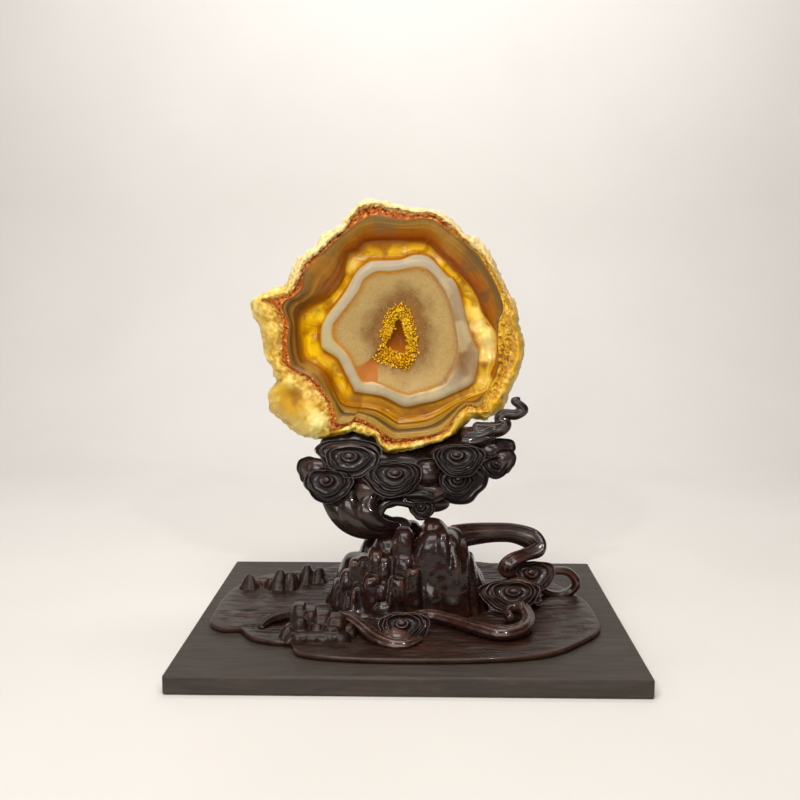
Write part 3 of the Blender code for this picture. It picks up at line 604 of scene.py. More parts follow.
def makeStone():
    ringBands = []
    for index, count in enumerate(stone["rings"]):
        ringBands += [index + 1 + k / count for k in range(count)]
    ringBands = np.array(ringBands)
    backShares = np.sin(math.pi / 2 * np.arange(1, stone["backRings"]) / stone["backRings"])
    backShares = np.arcsin(backShares ** (1 / 0.6)) * 2 / math.pi
    total = len(backShares) + len(ringBands)
    piece, share, angles = rolledGrid("agate_stone", stone["segments"], total)
    points = getPoints(piece)
    ring = np.rint(share * (total + 1)).astype(int) - 1
    band = np.zeros(len(points))
    placed = np.zeros_like(points)
    onBack = (ring >= 0) & (ring < len(backShares))
    onFace = (ring >= len(backShares)) & (ring < total)
    band[onBack] = backShares[ring[onBack]]
    band[onFace] = ringBands[ring[onFace] - len(backShares)]
    band[ring >= total] = 8.0
    placed[onBack] = backPoints(band[onBack], angles[onBack])
    placed[onFace] = facePoints(band[onFace], angles[onFace])
    placed[ring < 0] = alongSight(np.zeros(1), np.zeros(1), np.array([stone["backDepth"]]))[0]
    placed[ring >= total] = alongSight(np.zeros(1), np.zeros(1), np.array([stone["depths"][-1]]))[0]
    # Fine terraces that run along the wall, and the uneven floor of the channel
    wall = bump01(band, 3.1, 4.0, 0.15) * stone["wallSway"]
    moat = bump01(band, 4.2, 4.75, 0.3) * stone["moatSway"]
    for index in np.nonzero((wall > 0) | (moat > 0))[0]:
        turn = angles[index]
        spoke = Vector((math.cos(turn) * 2.2, math.sin(turn) * 2.2, band[index] * 11.0))
        place = Vector(placed[index]) / 15.0
        placed[index, 1] -= wall[index] * noise.noise(spoke) + moat[index] * noise.noise(place)
    placed[:, 2] = np.minimum(placed[:, 2], cadHigh.z / mm - 0.9)
    centre = stone["rimCentre"]
    calm = 1 - lumpHeight(stone["calm"], placed[:, 0] - centre[0], placed[:, 2] - centre[2])
    setPoints(piece, placed * mm)
    addAttribute(piece, "band", band)
    addAttribute(piece, "calm", calm)
    addAttribute(piece, "spoke", np.stack([np.cos(angles), np.sin(angles), np.zeros(len(angles))], -1),
                 "FLOAT_VECTOR")
    closeUp(piece)
    band, calm = (readPoints(piece, name) for name in ("band", "calm"))
    for name, weight in (("rind", bump01(band, 0, 2.0, 0.3) * calm),
                         ("fineRind", bump01(band, 0.98, 2.0, 0.5) * calm),
                         ("crumble", bump01(band, 2.05, 2.85, 0.2)),
                         ("wall", bump01(band, 3.0, 4.0, 0.2))):
        group = piece.vertex_groups.new(name=name)
        for value in np.unique(np.round(weight, 2)):
            if value > 0:
                group.add(np.nonzero(np.round(weight, 2) == value)[0].tolist(), float(value), "REPLACE")
    for kind, size, height, group, detail in stone["texture"]:
        roughen(piece, kind, size, height, group, detail)
    piece.vertex_groups.clear()
    points = getPoints(piece)
    points[:, 2] = np.minimum(points[:, 2], cadHigh.z)
    setPoints(piece, points)
    markRelief(piece, reach=6, gain=1.4)
    # the thin faces round the middle of the back read too strongly
    relief = readPoints(piece, "relief")
    relief = 0.5 + (relief - 0.5) * np.clip(band * 1.6 - 0.6, 0, 1)
    piece.data.attributes["relief"].data.foreach_set("value", relief)
    bpy.ops.object.shade_smooth()
    return piece


agate = makeStone()
print("stone shaped:", len(agate.data.vertices), "points")


# Shared effects, each a node group

def newGroup(name, inputs, outputs):
    tree = bpy.data.node_groups.new(name, "ShaderNodeTree")
    for label, kind, value in inputs:
        socket = tree.interface.new_socket(name=label, in_out="INPUT", socket_type="NodeSocket" + kind)
        if value is not None:
            socket.default_value = value
    for label, kind in outputs:
        tree.interface.new_socket(name=label, in_out="OUTPUT", socket_type="NodeSocket" + kind)
    given = {socket.name: SurfaceValue(socket) for socket in tree.nodes.new("NodeGroupInput").outputs}
    return tree, given, tree.nodes.new("NodeGroupOutput").inputs


def useGroup(tree, group, inputs=None):
    outputs = addNode(tree, "Group", inputs, node_tree=group).outputs
    return {socket.name: SurfaceValue(socket) for socket in outputs}


def makeSidesGroup():
    # Which side of the stone's middle a point is on, each a soft mask
    tree, given, wanted = newGroup("stoneSides", [("Reach", "Float", 0.08)], [
        ("Top", "Float"), ("Left", "Float"), ("Right", "Float"), ("Bottom", "Float")])
    place = objectPlace(tree)
    wobble = (grainNoise(tree, place, 45.0) - 0.5) * 0.5
    x, _, z = axes(tree, place)
    centre = stone["rimCentre"]
    across = (x - centre[0] * mm) / given["Reach"] + wobble
    up = (z - centre[2] * mm) / given["Reach"] + wobble
    for name, value, low, high in (("Top", up, 0.1, 0.6), ("Left", across, -0.3, -0.7),
                                   ("Right", across, 0.28, 0.55), ("Bottom", up, -0.3, -0.65)):
        link(step(tree, value, low, high), wanted[name])
    return tree


def makeSpotGroup():
    # A soft round patch at a place given in x and z
    tree, given, wanted = newGroup("softSpot", [("Centre", "Vector", None), ("Size", "Float", 0.01),
                                                ("Ragged", "Float", 0.3)], [("Mask", "Float")])
    place = objectPlace(tree)
    flat = addNode(tree, "VectorMath", {0: place, 1: (1, 0, 1)}, operation="MULTIPLY").outputs[0]
    gap = addNode(tree, "VectorMath", {0: flat, 1: given["Centre"]}, operation="DISTANCE").outputs["Value"]
    gap = SurfaceValue(gap)
    ragged = (grainNoise(tree, place, 170.0, 4.0) - 0.5) * given["Ragged"]
    share = gap / given["Size"] + ragged * 3.0
    link(step(tree, share, 1.5, 0.25), wanted["Mask"])
    return tree


def makeLayersGroup():
    # Fine layers that follow the bands round the stone, and fibres that cross them
    tree, given, wanted = newGroup("agateLayers", [("Fineness", "Float", 25.0), ("Fibres", "Float", 30.0)], [
        ("Band", "Float"), ("Layers", "Float"), ("Broad", "Float"), ("Fibres", "Float")])
    band = readAttribute(tree, "band")
    aroundX, aroundY, _ = axes(tree, addNode(tree, "Attribute", attribute_name="spoke").outputs["Vector"])
    for label, turn, along in (("Layers", 1.6, given["Fineness"]), ("Broad", 1.1, 5.0)):
        vector = joinAxes(tree, aroundX * turn, aroundY * turn, band * along)
        link(grainNoise(tree, vector, 1.0, 4.0, 0.6), wanted[label])
    fibre = joinAxes(tree, aroundX * given["Fibres"], aroundY * given["Fibres"], band * 2.5)
    link(grainNoise(tree, fibre, 1.0, 3.0, 0.7), wanted["Fibres"])
    link(band, wanted["Band"])
    return tree


stoneSides, softSpot, agateLayers = makeSidesGroup(), makeSpotGroup(), makeLayersGroup()


# The stone's finishes

def photoPlace(px, py):
    # A place on the rim's plane, in metres, for a pixel of the photograph
    centre = stone["rimCentre"]
    return ((centre[0] + (px - stone["centrePixel"][0]) * pixel) * mm, 0.0,
            (centre[2] - (py - stone["centrePixel"][1]) * pixel) * mm)


def tintSpots(tree, colourSocket, spots, within=1.0):
    for px, py, radius, ragged, shade, strength in spots:
        spot = useGroup(tree, softSpot, {"Centre": photoPlace(px, py), "Size": radius * pixel * mm,
                                         "Ragged": ragged})
        colourSocket = tinted(tree, spot["Mask"] * strength * within, colourSocket, shade)
    return colourSocket


rindLook = {
    # tones from the hollows to the tops: of the skin, the crumbly layer, and its paler right side; where the
    # relief picks them, dark hollows are painted shade and pale tops a painted highlight
    "skin": ((0.26, (138, 82, 12)), (0.40, (200, 144, 26)), (0.53, (232, 194, 84)), (0.68, (255, 232, 138))),
    "crumbs": ((0.2, (84, 30, 6)), (0.4, (186, 88, 14)), (0.6, (200, 106, 22)), (0.74, (222, 140, 44)),
               (0.92, (240, 200, 110))),
    "honey": ((0.3, (140, 80, 14)), (0.42, (206, 146, 20)), (0.55, (232, 184, 40)), (0.75, (248, 224, 124))),
    "bleached": (255, 238, 190), "mustard": (200, 144, 26), "brown": (138, 82, 12), "gold": (226, 174, 30),
    "dots": (122, 52, 16), "seam": (176, 116, 40), "roughness": 0.36, "coat": 0.15,
    # soft patches: middle and radius in the photograph's pixels, raggedness, colour, strength
    "spots": ((290, 408, 27, 0.3, (204, 152, 34), 0.75), (286, 399, 13, 0.3, (208, 156, 6), 0.95),
              (294, 397, 8, 1.2, (164, 104, 2), 0.75), (276, 411, 9, 1.2, (186, 134, 24), 0.5),
              (280, 394, 8, 1.0, (232, 190, 50), 0.5), (311, 413, 9, 1.0, (250, 222, 110), 0.7),
              (317, 421, 9, 0.9, (255, 240, 160), 0.8), (298, 431, 11, 1.0, (240, 206, 96), 0.6),
              (262, 320, 8, 0.4, (200, 150, 36), 0.6), (272, 345, 9, 0.5, (196, 150, 60), 0.6),
              (262, 330, 8, 0.4, (214, 168, 60), 0.5), (504, 330, 7, 0.6, (214, 160, 20), 0.5),
              (508, 350, 8, 0.6, (216, 168, 34), 0.5),
              # the last two lighten the lower rim, whose faces turn down into shade: painted light
              (420, 448, 9, 0.3, (246, 228, 140), 0.7), (392, 451, 8, 0.3, (220, 190, 80), 0.6)),
}

layerLook = {
    # band, colour: the wall, the channel and the ring, from the outside in, on each side of the stone; read
    # as lit on each side, so besides the bands' own colour they carry painted shade, darkest at the foot of
    # the top wall
    "Top": ((3.0, (150, 104, 40)), (3.06, (116, 92, 46)), (3.16, (166, 126, 50)), (3.35, (176, 126, 38)),
            (3.6, (172, 108, 16)), (3.8, (170, 84, 0)), (3.96, (140, 66, 0)), (4.05, (118, 60, 0)),
            (4.16, (156, 90, 0)), (4.36, (214, 154, 4)), (4.6, (246, 196, 16)), (4.85, (206, 138, 2)),
            (4.97, (176, 112, 6)), (5.03, (188, 170, 136)), (5.4, (184, 168, 144)), (5.85, (188, 170, 138)),
            (5.96, (186, 150, 92)), (6.0, (202, 130, 12))),
    "Left": ((3.0, (112, 72, 32)), (3.12, (150, 112, 54)), (3.26, (96, 62, 24)), (3.46, (164, 112, 40)),
             (3.66, (118, 72, 18)), (3.88, (150, 90, 14)), (4.02, (170, 108, 4)), (4.14, (214, 154, 2)),
             (4.4, (255, 206, 10)), (4.7, (226, 160, 0)), (4.93, (176, 104, 0)), (4.98, (196, 150, 50)),
             (5.05, (200, 184, 124)), (5.5, (190, 178, 128)), (5.85, (186, 172, 122)), (5.96, (206, 150, 30)),
             (6.0, (196, 116, 4))),
    "Right": ((3.0, (150, 96, 34)), (3.1, (110, 82, 42)), (3.25, (140, 96, 30)), (3.5, (172, 102, 8)),
              (3.75, (168, 84, 0)), (3.95, (128, 66, 4)), (4.05, (220, 160, 20)), (4.3, (252, 214, 70)),
              (4.65, (246, 194, 34)), (4.9, (196, 130, 14)), (4.98, (170, 130, 76)), (5.06, (170, 142, 104)),
              (5.4, (156, 126, 92)), (5.7, (138, 104, 68)), (5.93, (146, 108, 64)), (6.0, (176, 130, 64))),
    "Bottom": ((3.0, (136, 84, 22)), (3.12, (168, 130, 46)), (3.3, (176, 138, 60)), (3.46, (120, 88, 34)),
               (3.58, (78, 58, 28)), (3.68, (160, 120, 40)), (3.84, (176, 130, 34)), (3.95, (88, 60, 20)),
               (4.04, (196, 140, 10)), (4.2, (190, 130, 6)), (4.5, (168, 108, 6)), (4.75, (190, 136, 20)),
               (4.93, (140, 92, 14)), (4.98, (170, 140, 88)), (5.05, (190, 178, 142)), (5.5, (180, 168, 136)),
               (5.85, (176, 158, 122)), (5.96, (190, 138, 46)), (6.0, (186, 128, 36))),
    "fineness": 25.0, "roughness": 0.2, "coat": 0.24,
    "rays": (112, 78, 34), "clouded": (150, 86, 0), "milky": (214, 196, 150),
    # soft patches in the channel, then on the wall; the dark amber ones at (380, 245), (340, 286) and (327,
    # 305) are painted shade at the foot of the upper wall, and the bright yellow ones at (318, 318) and (312,
    # 350) are partly the channel's own yellow, partly a painted highlight
    "spots": ((479, 326, 10, 0.9, (252, 228, 140), 0.7), (487, 339, 11, 0.9, (252, 232, 150), 0.75),
              (490, 352, 10, 0.9, (250, 226, 140), 0.75), (472, 314, 8, 0.9, (255, 226, 110), 0.6),
              (485, 382, 8, 0.3, (222, 184, 84), 0.7), (486, 367, 4, 0.4, (160, 104, 20), 0.9),
              (350, 266, 7, 0.3, (240, 204, 60), 0.6), (340, 286, 5, 0.4, (160, 94, 0), 0.6),
              (318, 318, 6, 0.3, (255, 220, 40), 0.7), (312, 350, 7, 0.3, (255, 212, 20), 0.6),
              (450, 392, 10, 0.6, (176, 126, 40), 0.5), (327, 305, 6, 0.6, (150, 84, 0), 0.7),
              (354, 401, 7, 0.4, (140, 84, 8), 0.7), (380, 245, 8, 0.5, (148, 82, 0), 0.7),
              (480, 312, 7, 0.4, (255, 228, 130), 0.6)),
    "wallSpots": ((471, 264, 9, 1.2, (106, 88, 52), 0.6), (486, 295, 7, 1.2, (98, 76, 44), 0.6),
                  (322, 268, 12, 1.0, (184, 122, 14), 0.6), (310, 370, 8, 0.8, (190, 146, 62), 0.5),
                  (384, 224, 12, 1.2, (120, 104, 74), 0.5), (450, 245, 10, 1.0, (186, 140, 50), 0.4)),
}

quartzLook = {
    # from the amber line inside the ring (0) to the middle of the hollow's floor (1)
    "bands": ((0.0, (196, 126, 16)), (0.012, (196, 126, 16)), (0.03, (178, 138, 74)), (0.07, (184, 154, 96)),
              (0.16, (184, 154, 96)), (0.36, (134, 94, 48)), (0.46, (146, 100, 46)), (0.52, (160, 94, 10)),
              (0.6, (184, 108, 0)), (0.85, (142, 76, 0))),
    "shade": (104, 70, 34), "light": (210, 184, 132), "rightEdge": (160, 124, 82), "lower": (196, 164, 102),
    "roughness": 0.34, "coat": 0.08,
    # the salmon wedge at the lower left: its upper right corner in the photograph's pixels
    "wedgeCorner": (377, 357), "wedgeStrength": 0.85, "wedge": (188, 106, 34),
}


def rindMaterial():
    material, tree, shader = newMaterial("weathered rind", {
        "Coat Weight": rindLook["coat"], "Coat Roughness": 0.25, "Subsurface Weight": 0.25,
        "Subsurface Scale": 0.002, "Subsurface Radius": (1.0, 0.6, 0.2), "Specular IOR Level": 0.25})
    place = objectPlace(tree)
    sides = useGroup(tree, stoneSides)
    layers = useGroup(tree, agateLayers, {"Fineness": 9.0})
    relief = readAttribute(tree, "relief")
    patch = grainNoise(tree, place, 75.0, 4.0, 0.6, 0.6)
    fine = grainNoise(tree, place, 340.0, 3.0, 0.6)
    # the relief share darkens the pits and lightens the bumps: painted shade and painted highlight, over the
    # skin's own patches
    tone = patch * 0.55 + relief * 0.42 + (fine - 0.5) * 0.16
    skin = ramp(tree, tone, rindLook["skin"])
    skin = tinted(tree, sides["Right"] * step(tree, patch, 0.35, 0.6), skin, rindLook["gold"])
    flecks = step(tree, cells(tree, place, 330.0), 0.22, 0.08)
    flecks = flecks * step(tree, grainNoise(tree, place, 110.0), 0.5, 0.62)
    # paler top of the rind, most on its bumps: partly the skin's own cream tone, partly a painted highlight
    # from the light above
    bleached = sides["Top"] * step(tree, relief, 0.35, 0.65, 0.2, 0.6)
    skin = tinted(tree, bleached, skin, rindLook["bleached"])
    skin = tinted(tree, flecks * 0.35, skin, rindLook["brown"])
    skin = tintSpots(tree, skin, rindLook["spots"])
    back = step(tree, layers["Band"], 1.0, 0.6)
    skin = tinted(tree, back * 0.5, skin, rindLook["mustard"])
    speck = specks(tree, place, 620.0)
    # the crumbly layer by relief as well: painted shade in its pits, painted highlight on its grains
    crumb = ramp(tree, speck * 0.5 + relief * 0.5, rindLook["crumbs"])
    honey = ramp(tree, speck * 0.3 + patch * 0.7, rindLook["honey"])
    dots = step(tree, cells(tree, place, 420.0), 0.3, 0.12)
    dots = dots * step(tree, grainNoise(tree, place, 170.0), 0.52, 0.6)
    honey = tinted(tree, dots * 0.3, honey, rindLook["dots"])
    crumb = mix(tree, sides["Right"], crumb, honey)
    edgeBand = layers["Band"] + (grainNoise(tree, place, 420.0, 4.0) - 0.5) * 1.3
    skin = tinted(tree, step(tree, edgeBand, 1.8, 2.1) * 0.65, skin, rindLook["seam"])
    inside = step(tree, edgeBand, 2.16, 2.34)
    rough = held(patch * 0.3 + (rindLook["roughness"] - 0.15) + inside * 0.25)
    height = grainNoise(tree, place, 900.0, 5.0, 0.6) + cells(tree, place, 800.0) * inside * 1.5
    finishSurface(tree, shader, mix(tree, inside, skin, crumb), rough, height, 0.5, 0.8)
    return material


def layerMaterial():
    material, tree, shader = newMaterial("banded agate", {
        "Coat Weight": layerLook["coat"], "Coat Roughness": 0.05, "Subsurface Weight": 0.35,
        "Subsurface Scale": 0.003, "Subsurface Radius": (1.0, 0.55, 0.15), "Specular IOR Level": 0.12})
    place = objectPlace(tree)
    sides = useGroup(tree, stoneSides)
    layers = useGroup(tree, agateLayers, {"Fineness": layerLook["fineness"]})
    onRing = step(tree, layers["Band"], 4.97, 5.03) * step(tree, layers["Band"], 6.2, 6.1)
    still = 1.0 - onRing * 0.8
    onWall = step(tree, layers["Band"], 3.98, 3.8)
    sway = (layers["Broad"] - 0.5) * 0.35 * (onWall * 0.8 + 0.2)
    warped = layers["Band"] + sway * still
    share = (warped - 3.0) / 3.0
    shade = None
    for side in ("Top", "Left", "Right", "Bottom"):
        stops = [((band - 3.0) / 3.0, tint) for band, tint in layerLook[side]]
        sideShade = ramp(tree, share, stops)
        shade = sideShade if shade is None else mix(tree, sides[side], shade, sideShade)
    fine = step(tree, layers["Layers"], 0.36, 0.62, 0.74, 1.14)
    layered = still * (onWall * 0.75 + 0.25) * (1.0 - sides["Top"] * 0.6)
    fine = (fine - 1.0) * layered + 1.0
    shade = mix(tree, 1.0, shade, joinAxes(tree, fine, fine, fine), "MULTIPLY")
    rays = step(tree, layers["Fibres"], 0.45, 0.75) * onWall * 0.3
    shade = tinted(tree, rays, shade, layerLook["rays"])
    cloudy = step(tree, grainNoise(tree, place, 105.0, 5.0, 0.6, 0.9), 0.42, 0.64)
    milky = step(tree, grainNoise(tree, place, 60.0, 2.0), 0.5, 0.65) * onRing
    inMoat = step(tree, layers["Band"], 4.02, 4.15) * step(tree, layers["Band"], 5.0, 4.9)
    shade = tinted(tree, cloudy * inMoat * 0.7, shade, layerLook["clouded"])
    shade = tintSpots(tree, shade, layerLook["spots"], inMoat)
    shade = tintSpots(tree, shade, layerLook["wallSpots"], onWall)
    shade = tinted(tree, milky * 0.5, shade, layerLook["milky"])
    rough = onWall * 0.22 + layerLook["roughness"] + (layers["Layers"] - 0.5) * 0.2
    height = layers["Layers"] * (onWall + 0.12) + grainNoise(tree, place, 260.0, 2.0) * 0.35
    finishSurface(tree, shader, shade, rough, height, 0.45, 0.7)
    return material


def quartzMaterial():
    material, tree, shader = newMaterial("sugary quartz", {
        "Coat Weight": quartzLook["coat"], "Coat Roughness": 0.15, "Subsurface Weight": 0.3,
        "Subsurface Scale": 0.002, "Subsurface Radius": (1.0, 0.7, 0.4), "Specular IOR Level": 0.07})
    place = objectPlace(tree)
    sides = useGroup(tree, stoneSides, {"Reach": 0.045})
    layers = useGroup(tree, agateLayers, {"Fineness": 8.0, "Fibres": 60.0})
    blotch = grainNoise(tree, place, 90.0, 3.0, 0.55)
    edge = (layers["Fibres"] - 0.5) * 0.3 + (blotch - 0.5) * 0.9
    edge = edge * step(tree, layers["Band"], 6.03, 6.35) * step(tree, layers["Band"], 7.0, 6.8)
    share = (layers["Band"] + edge - 6.0) / 2.0
    shade = ramp(tree, share, quartzLook["bands"])
    paler = sides["Right"] * step(tree, layers["Band"], 6.08, 6.04)
    shade = tinted(tree, paler, shade, quartzLook["rightEdge"])
    lower = sides["Bottom"] * step(tree, layers["Band"], 7.0, 6.9) * step(tree, layers["Band"], 6.06, 6.14)
    shade = tinted(tree, lower * 0.6, shade, quartzLook["lower"])
    onFace = step(tree, layers["Band"], 7.02, 6.92)
    dust = step(tree, grainNoise(tree, place, 620.0, 8.0, 0.85), 0.45, 0.7)
    streak = step(tree, layers["Fibres"], 0.45, 0.8)
    sugar = step(tree, grainNoise(tree, place, 900.0, 6.0, 0.8), 0.5, 0.66)
    for mask, strength, tint in ((streak, 0.3, "light"), (sugar, 0.3, "light"), (dust, 0.32, "shade")):
        shade = tinted(tree, mask * onFace * strength, shade, quartzLook[tint])
    x, _, z = axes(tree, place)
    corner = photoPlace(*quartzLook["wedgeCorner"])
    across = x - corner[0] + (grainNoise(tree, place, 300.0) - 0.5) * 0.002
    down = corner[2] - z + across * 0.45
    wedge = step(tree, across, 0.0004, -0.0004) * step(tree, down, -0.0005, 0.002)
    wedge = wedge * step(tree, layers["Band"], 6.02, 6.06, 0.0, quartzLook["wedgeStrength"])
    shade = tinted(tree, wedge, shade, quartzLook["wedge"])
    rough = layers["Fibres"] * 0.3 + (quartzLook["roughness"] - 0.12)
    height = layers["Fibres"] * 0.8 + cells(tree, place, 1300.0) * 0.8
    finishSurface(tree, shader, shade, rough, height, 0.3, 0.7)
    return material


def dressStone(piece):
    for material in (rindMaterial(), layerMaterial(), quartzMaterial()):
        piece.data.materials.append(material)
    band = readPoints(piece, "band")
    corners = np.zeros(len(piece.data.loops), int)
    piece.data.loops.foreach_get("vertex_index", corners)
    starts = np.zeros(len(piece.data.polygons), int)
    piece.data.polygons.foreach_get("loop_start", starts)
    highest = np.maximum.reduceat(band[corners], starts)
    slots = np.where(highest <= 3.01, 0, np.where(highest <= 6.01, 1, 2))
    piece.data.polygons.foreach_set("material_index", slots)
    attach(piece, "root")
    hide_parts("agate")


dressStone(agate)
print("stone dressed")


# The crystals that line the hollow

druse = {
    "count": 760, "width": 1.2, "length": 2.8, "seed": 7,
    # places over the hollow's wall, from just outside its edge down to its floor
    "bandFrom": 6.93, "bandTo": 7.36,
    "tones": ((0.15, (190, 112, 0)), (0.42, (255, 214, 16)), (0.62, (232, 170, 24)), (0.85, (255, 244, 120))),
}


def makeCrystal():
    # One six-sided crystal with a point, its foot at the origin
    bpy.ops.mesh.primitive_cylinder_add(vertices=6, radius=0.5, depth=1.0, location=(0, 0, 0.5),
                                        end_fill_type="NGON")
    crystal = bpy.context.object
    bpy.ops.object.transform_apply(location=True)
    makeActive(crystal)
    bpy.ops.object.mode_set(mode="EDIT")
    bpy.ops.mesh.select_mode(type="FACE")
    bpy.ops.mesh.select_all(action="DESELECT")
    bpy.ops.object.mode_set(mode="OBJECT")
    for face in crystal.data.polygons:
        face.select = face.normal.z > 0.9
    bpy.ops.object.mode_set(mode="EDIT")
    bpy.ops.mesh.extrude_region_move(TRANSFORM_OT_translate={"value": (0, 0, 0.35)})
    bpy.ops.transform.resize(value=(0.15, 0.15, 1))
    bpy.ops.object.mode_set(mode="OBJECT")
    return crystal


def makeDruse():
    random.seed(druse["seed"])
    model = makeCrystal()
    shape = getPoints(model)
    crystals = []
    golden = math.pi * (3 - math.sqrt(5))
    for index in range(druse["count"]):
        share = (index + 0.5) / druse["count"]
        angle = (index * golden) % (2 * math.pi) - math.pi
        outside, inside = (8.0 - druse[key] for key in ("bandFrom", "bandTo"))
        band = 8.0 - math.sqrt(outside ** 2 + (inside ** 2 - outside ** 2) * share)
        band += random.uniform(-0.025, 0.025)
        foot = facePoints(np.array([band]), np.array([angle]))[0]
        middle = facePoints(np.array([7.9]), np.array([angle]))[0]
        inward = Vector(middle - foot)
        inward.y = 0
        inward.normalize()
        lean = -0.3 + 1.1 * min(1.0, max(0.0, (band - 6.95) / 0.3))
        aim = Vector((0, -1, 0)) + inward * lean
        aim += Vector([random.uniform(-0.4, 0.4) for _ in range(3)])
        size = random.uniform(0.65, 1.15) * (1.0 if band > 7.0 else 0.75)
        turn = aim.to_track_quat("Z", "Y").to_matrix() @ Matrix.Rotation(random.uniform(0, 6), 3, "Z")
        length = druse["length"] * random.uniform(0.7, 1.2)
        scale = np.array([druse["width"], druse["width"], length]) * size
        points = (shape * scale) @ np.array(turn).T + foot + np.array([0, 0.5, 0])
        copy = model.copy()
        copy.data = model.data.copy()
        bpy.context.collection.objects.link(copy)
        setPoints(copy, points * mm)
        crystals.append(copy)
    bpy.data.objects.remove(model)
    piece = joinPieces(crystals, "druse_crystals")
    material, tree, shader = newMaterial("yellow crystals", {
        "Roughness": 0.15, "Coat Weight": 0.25, "Coat Roughness": 0.04, "Specular IOR Level": 0.4,
        "Subsurface Weight": 0.3, "Subsurface Scale": 0.001, "Subsurface Radius": (1.0, 0.6, 0.1)})
    place = objectPlace(tree)
    speck = specks(tree, place, 900.0)
    cloudy = speck * 0.6 + grainNoise(tree, place, 300.0) * 0.4
    link(ramp(tree, cloudy, druse["tones"]), shader.inputs["Base Color"])
    piece.data.materials.append(material)
    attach(piece, "root")
    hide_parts("druse_crust")


makeDruse()
print("hollow lined with crystals")


# The carved wood. Heights in the lists below are above the board's top.

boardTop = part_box("base_board")[1].z / mm

woodLook = {
    # dark tone, warm tone, tone of worn edges that also serves as a painted highlight
    # the seat's tones are darker than the other pieces' of the same wood: painted shade for the shade under
    # the stone
    "seat": ((20, 11, 9), (42, 22, 18), (112, 88, 78)),
    "rock": ((24, 11, 7), (50, 23, 15), (116, 76, 58)),
    "ribbon": ((30, 16, 12), (64, 34, 26), (116, 84, 70)),
    "ground": ((24, 11, 6), (54, 28, 17), (92, 64, 50)),
    "board": ((76, 66, 59), (96, 84, 76), (120, 108, 98)),
    "rough": 0.30, "coat": 0.45, "coatRough": 0.07, "specular": 0.28,
    # how far the relief reaches and how strongly it shows: it lightens worn edges, partly as a painted
    # highlight, and darkens the hollows as painted shade
    "reliefReach": 8, "reliefGain": 2.2,
}


def makeWoodGroup():
    # Dark polished hardwood: long grain, small pores, worn edges lighter (partly real wear, partly a painted
    # highlight) and hollows darkened as painted shade
    tree, given, wanted = newGroup("carvedHardwood", [
        ("Dark", "Color", None), ("Warm", "Color", None), ("WornEdgeAndHighlight", "Color", None), ("WearAndHighlight", "Float", 1.0),
        ("Rough", "Float", 0.36)], [("Colour", "Color"), ("Roughness", "Float"), ("Height", "Float")])
    place = objectPlace(tree)
    relief = readAttribute(tree, "relief")
    long = stretched(tree, place, (26.0, 220.0, 220.0), (0.05, 0.12, 0.08))
    grain = grainNoise(tree, long, 1.0, 5.0, 0.62, 1.1)
    pores = stretched(tree, place, (60.0, 900.0, 900.0), (0.05, 0.12, 0.08))
    streaks = grainNoise(tree, pores, 1.0, 3.0, 0.6)
    cloudy = grainNoise(tree, place, 38.0, 3.0, 0.5)
    tone = grain * 0.7 + cloudy * 0.3
    shade = mix(tree, step(tree, tone, 0.38, 0.66), given["Dark"], given["Warm"])
    shade = mix(tree, step(tree, streaks, 0.55, 0.75) * 0.45, shade, given["Dark"])
    # worn edges lighter by relief: partly real wear, partly a painted highlight on lips and ridges
    edge = step(tree, relief, 0.68, 1.0, 0.0, 0.65) * given["WearAndHighlight"]
    edge = edge * step(tree, grainNoise(tree, place, 160.0), 0.3, 0.6, 0.35, 1.0)
    shade = mix(tree, edge, shade, given["WornEdgeAndHighlight"])
    # painted shade: the hollows darkened towards black, where shade falls; the same mask roughens them
    recessShadeMask = step(tree, relief, 0.42, 0.12)
    link(mix(tree, recessShadeMask * 0.5, shade, (0.004, 0.003, 0.003, 1.0)), wanted["Colour"])
    rough = given["Rough"] + (streaks - 0.5) * 0.35 + recessShadeMask * 0.25 + (cloudy - 0.5) * 0.3
    link(held(rough), wanted["Roughness"])
    link(streaks * 0.6 + grain * 0.4, wanted["Height"])
    return tree


carvedHardwood = makeWoodGroup()


def woodMaterial(name, look, wear=1.0, rough=woodLook["rough"], coat=woodLook["coat"]):
    material, tree, shader = newMaterial(name, {"Coat Weight": coat, "Coat Roughness": woodLook["coatRough"],
                                                "Specular IOR Level": woodLook["specular"]})
    dark, warm, wornEdgeAndHighlight = (colour(*tone) for tone in woodLook[look])
    wood = useGroup(tree, carvedHardwood, {"Dark": dark, "Warm": warm, "WornEdgeAndHighlight": wornEdgeAndHighlight, "WearAndHighlight": wear,
                                           "Rough": rough})
    finishSurface(tree, shader, wood["Colour"], wood["Roughness"], wood["Height"], 0.15, 0.5)
    return material


def dressWood(piece, material, replaced):
    markRelief(piece, woodLook["reliefReach"], woodLook["reliefGain"])
    piece.data.materials.clear()
    piece.data.materials.append(material)
    makeActive(piece)
    bpy.ops.object.shade_smooth()
    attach(piece, "root")
    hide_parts(replaced)


def closedShape(name, around, rings, shape):
    # Rings placed by shape(share of the way from end to end, turn), with closed ends
    piece, share, turns = rolledGrid(name, around, rings)
    setPoints(piece, shape(share, turns) * mm)
    closeUp(piece)
    return piece


def onRoute(route, share):
    # Places on the smooth curve through the route's points, share running from 0 to 1
    values, index = np.unique(np.round(share, 6), return_inverse=True)
    return np.array([between(route, value * (len(route) - 1)) for value in values])[index]


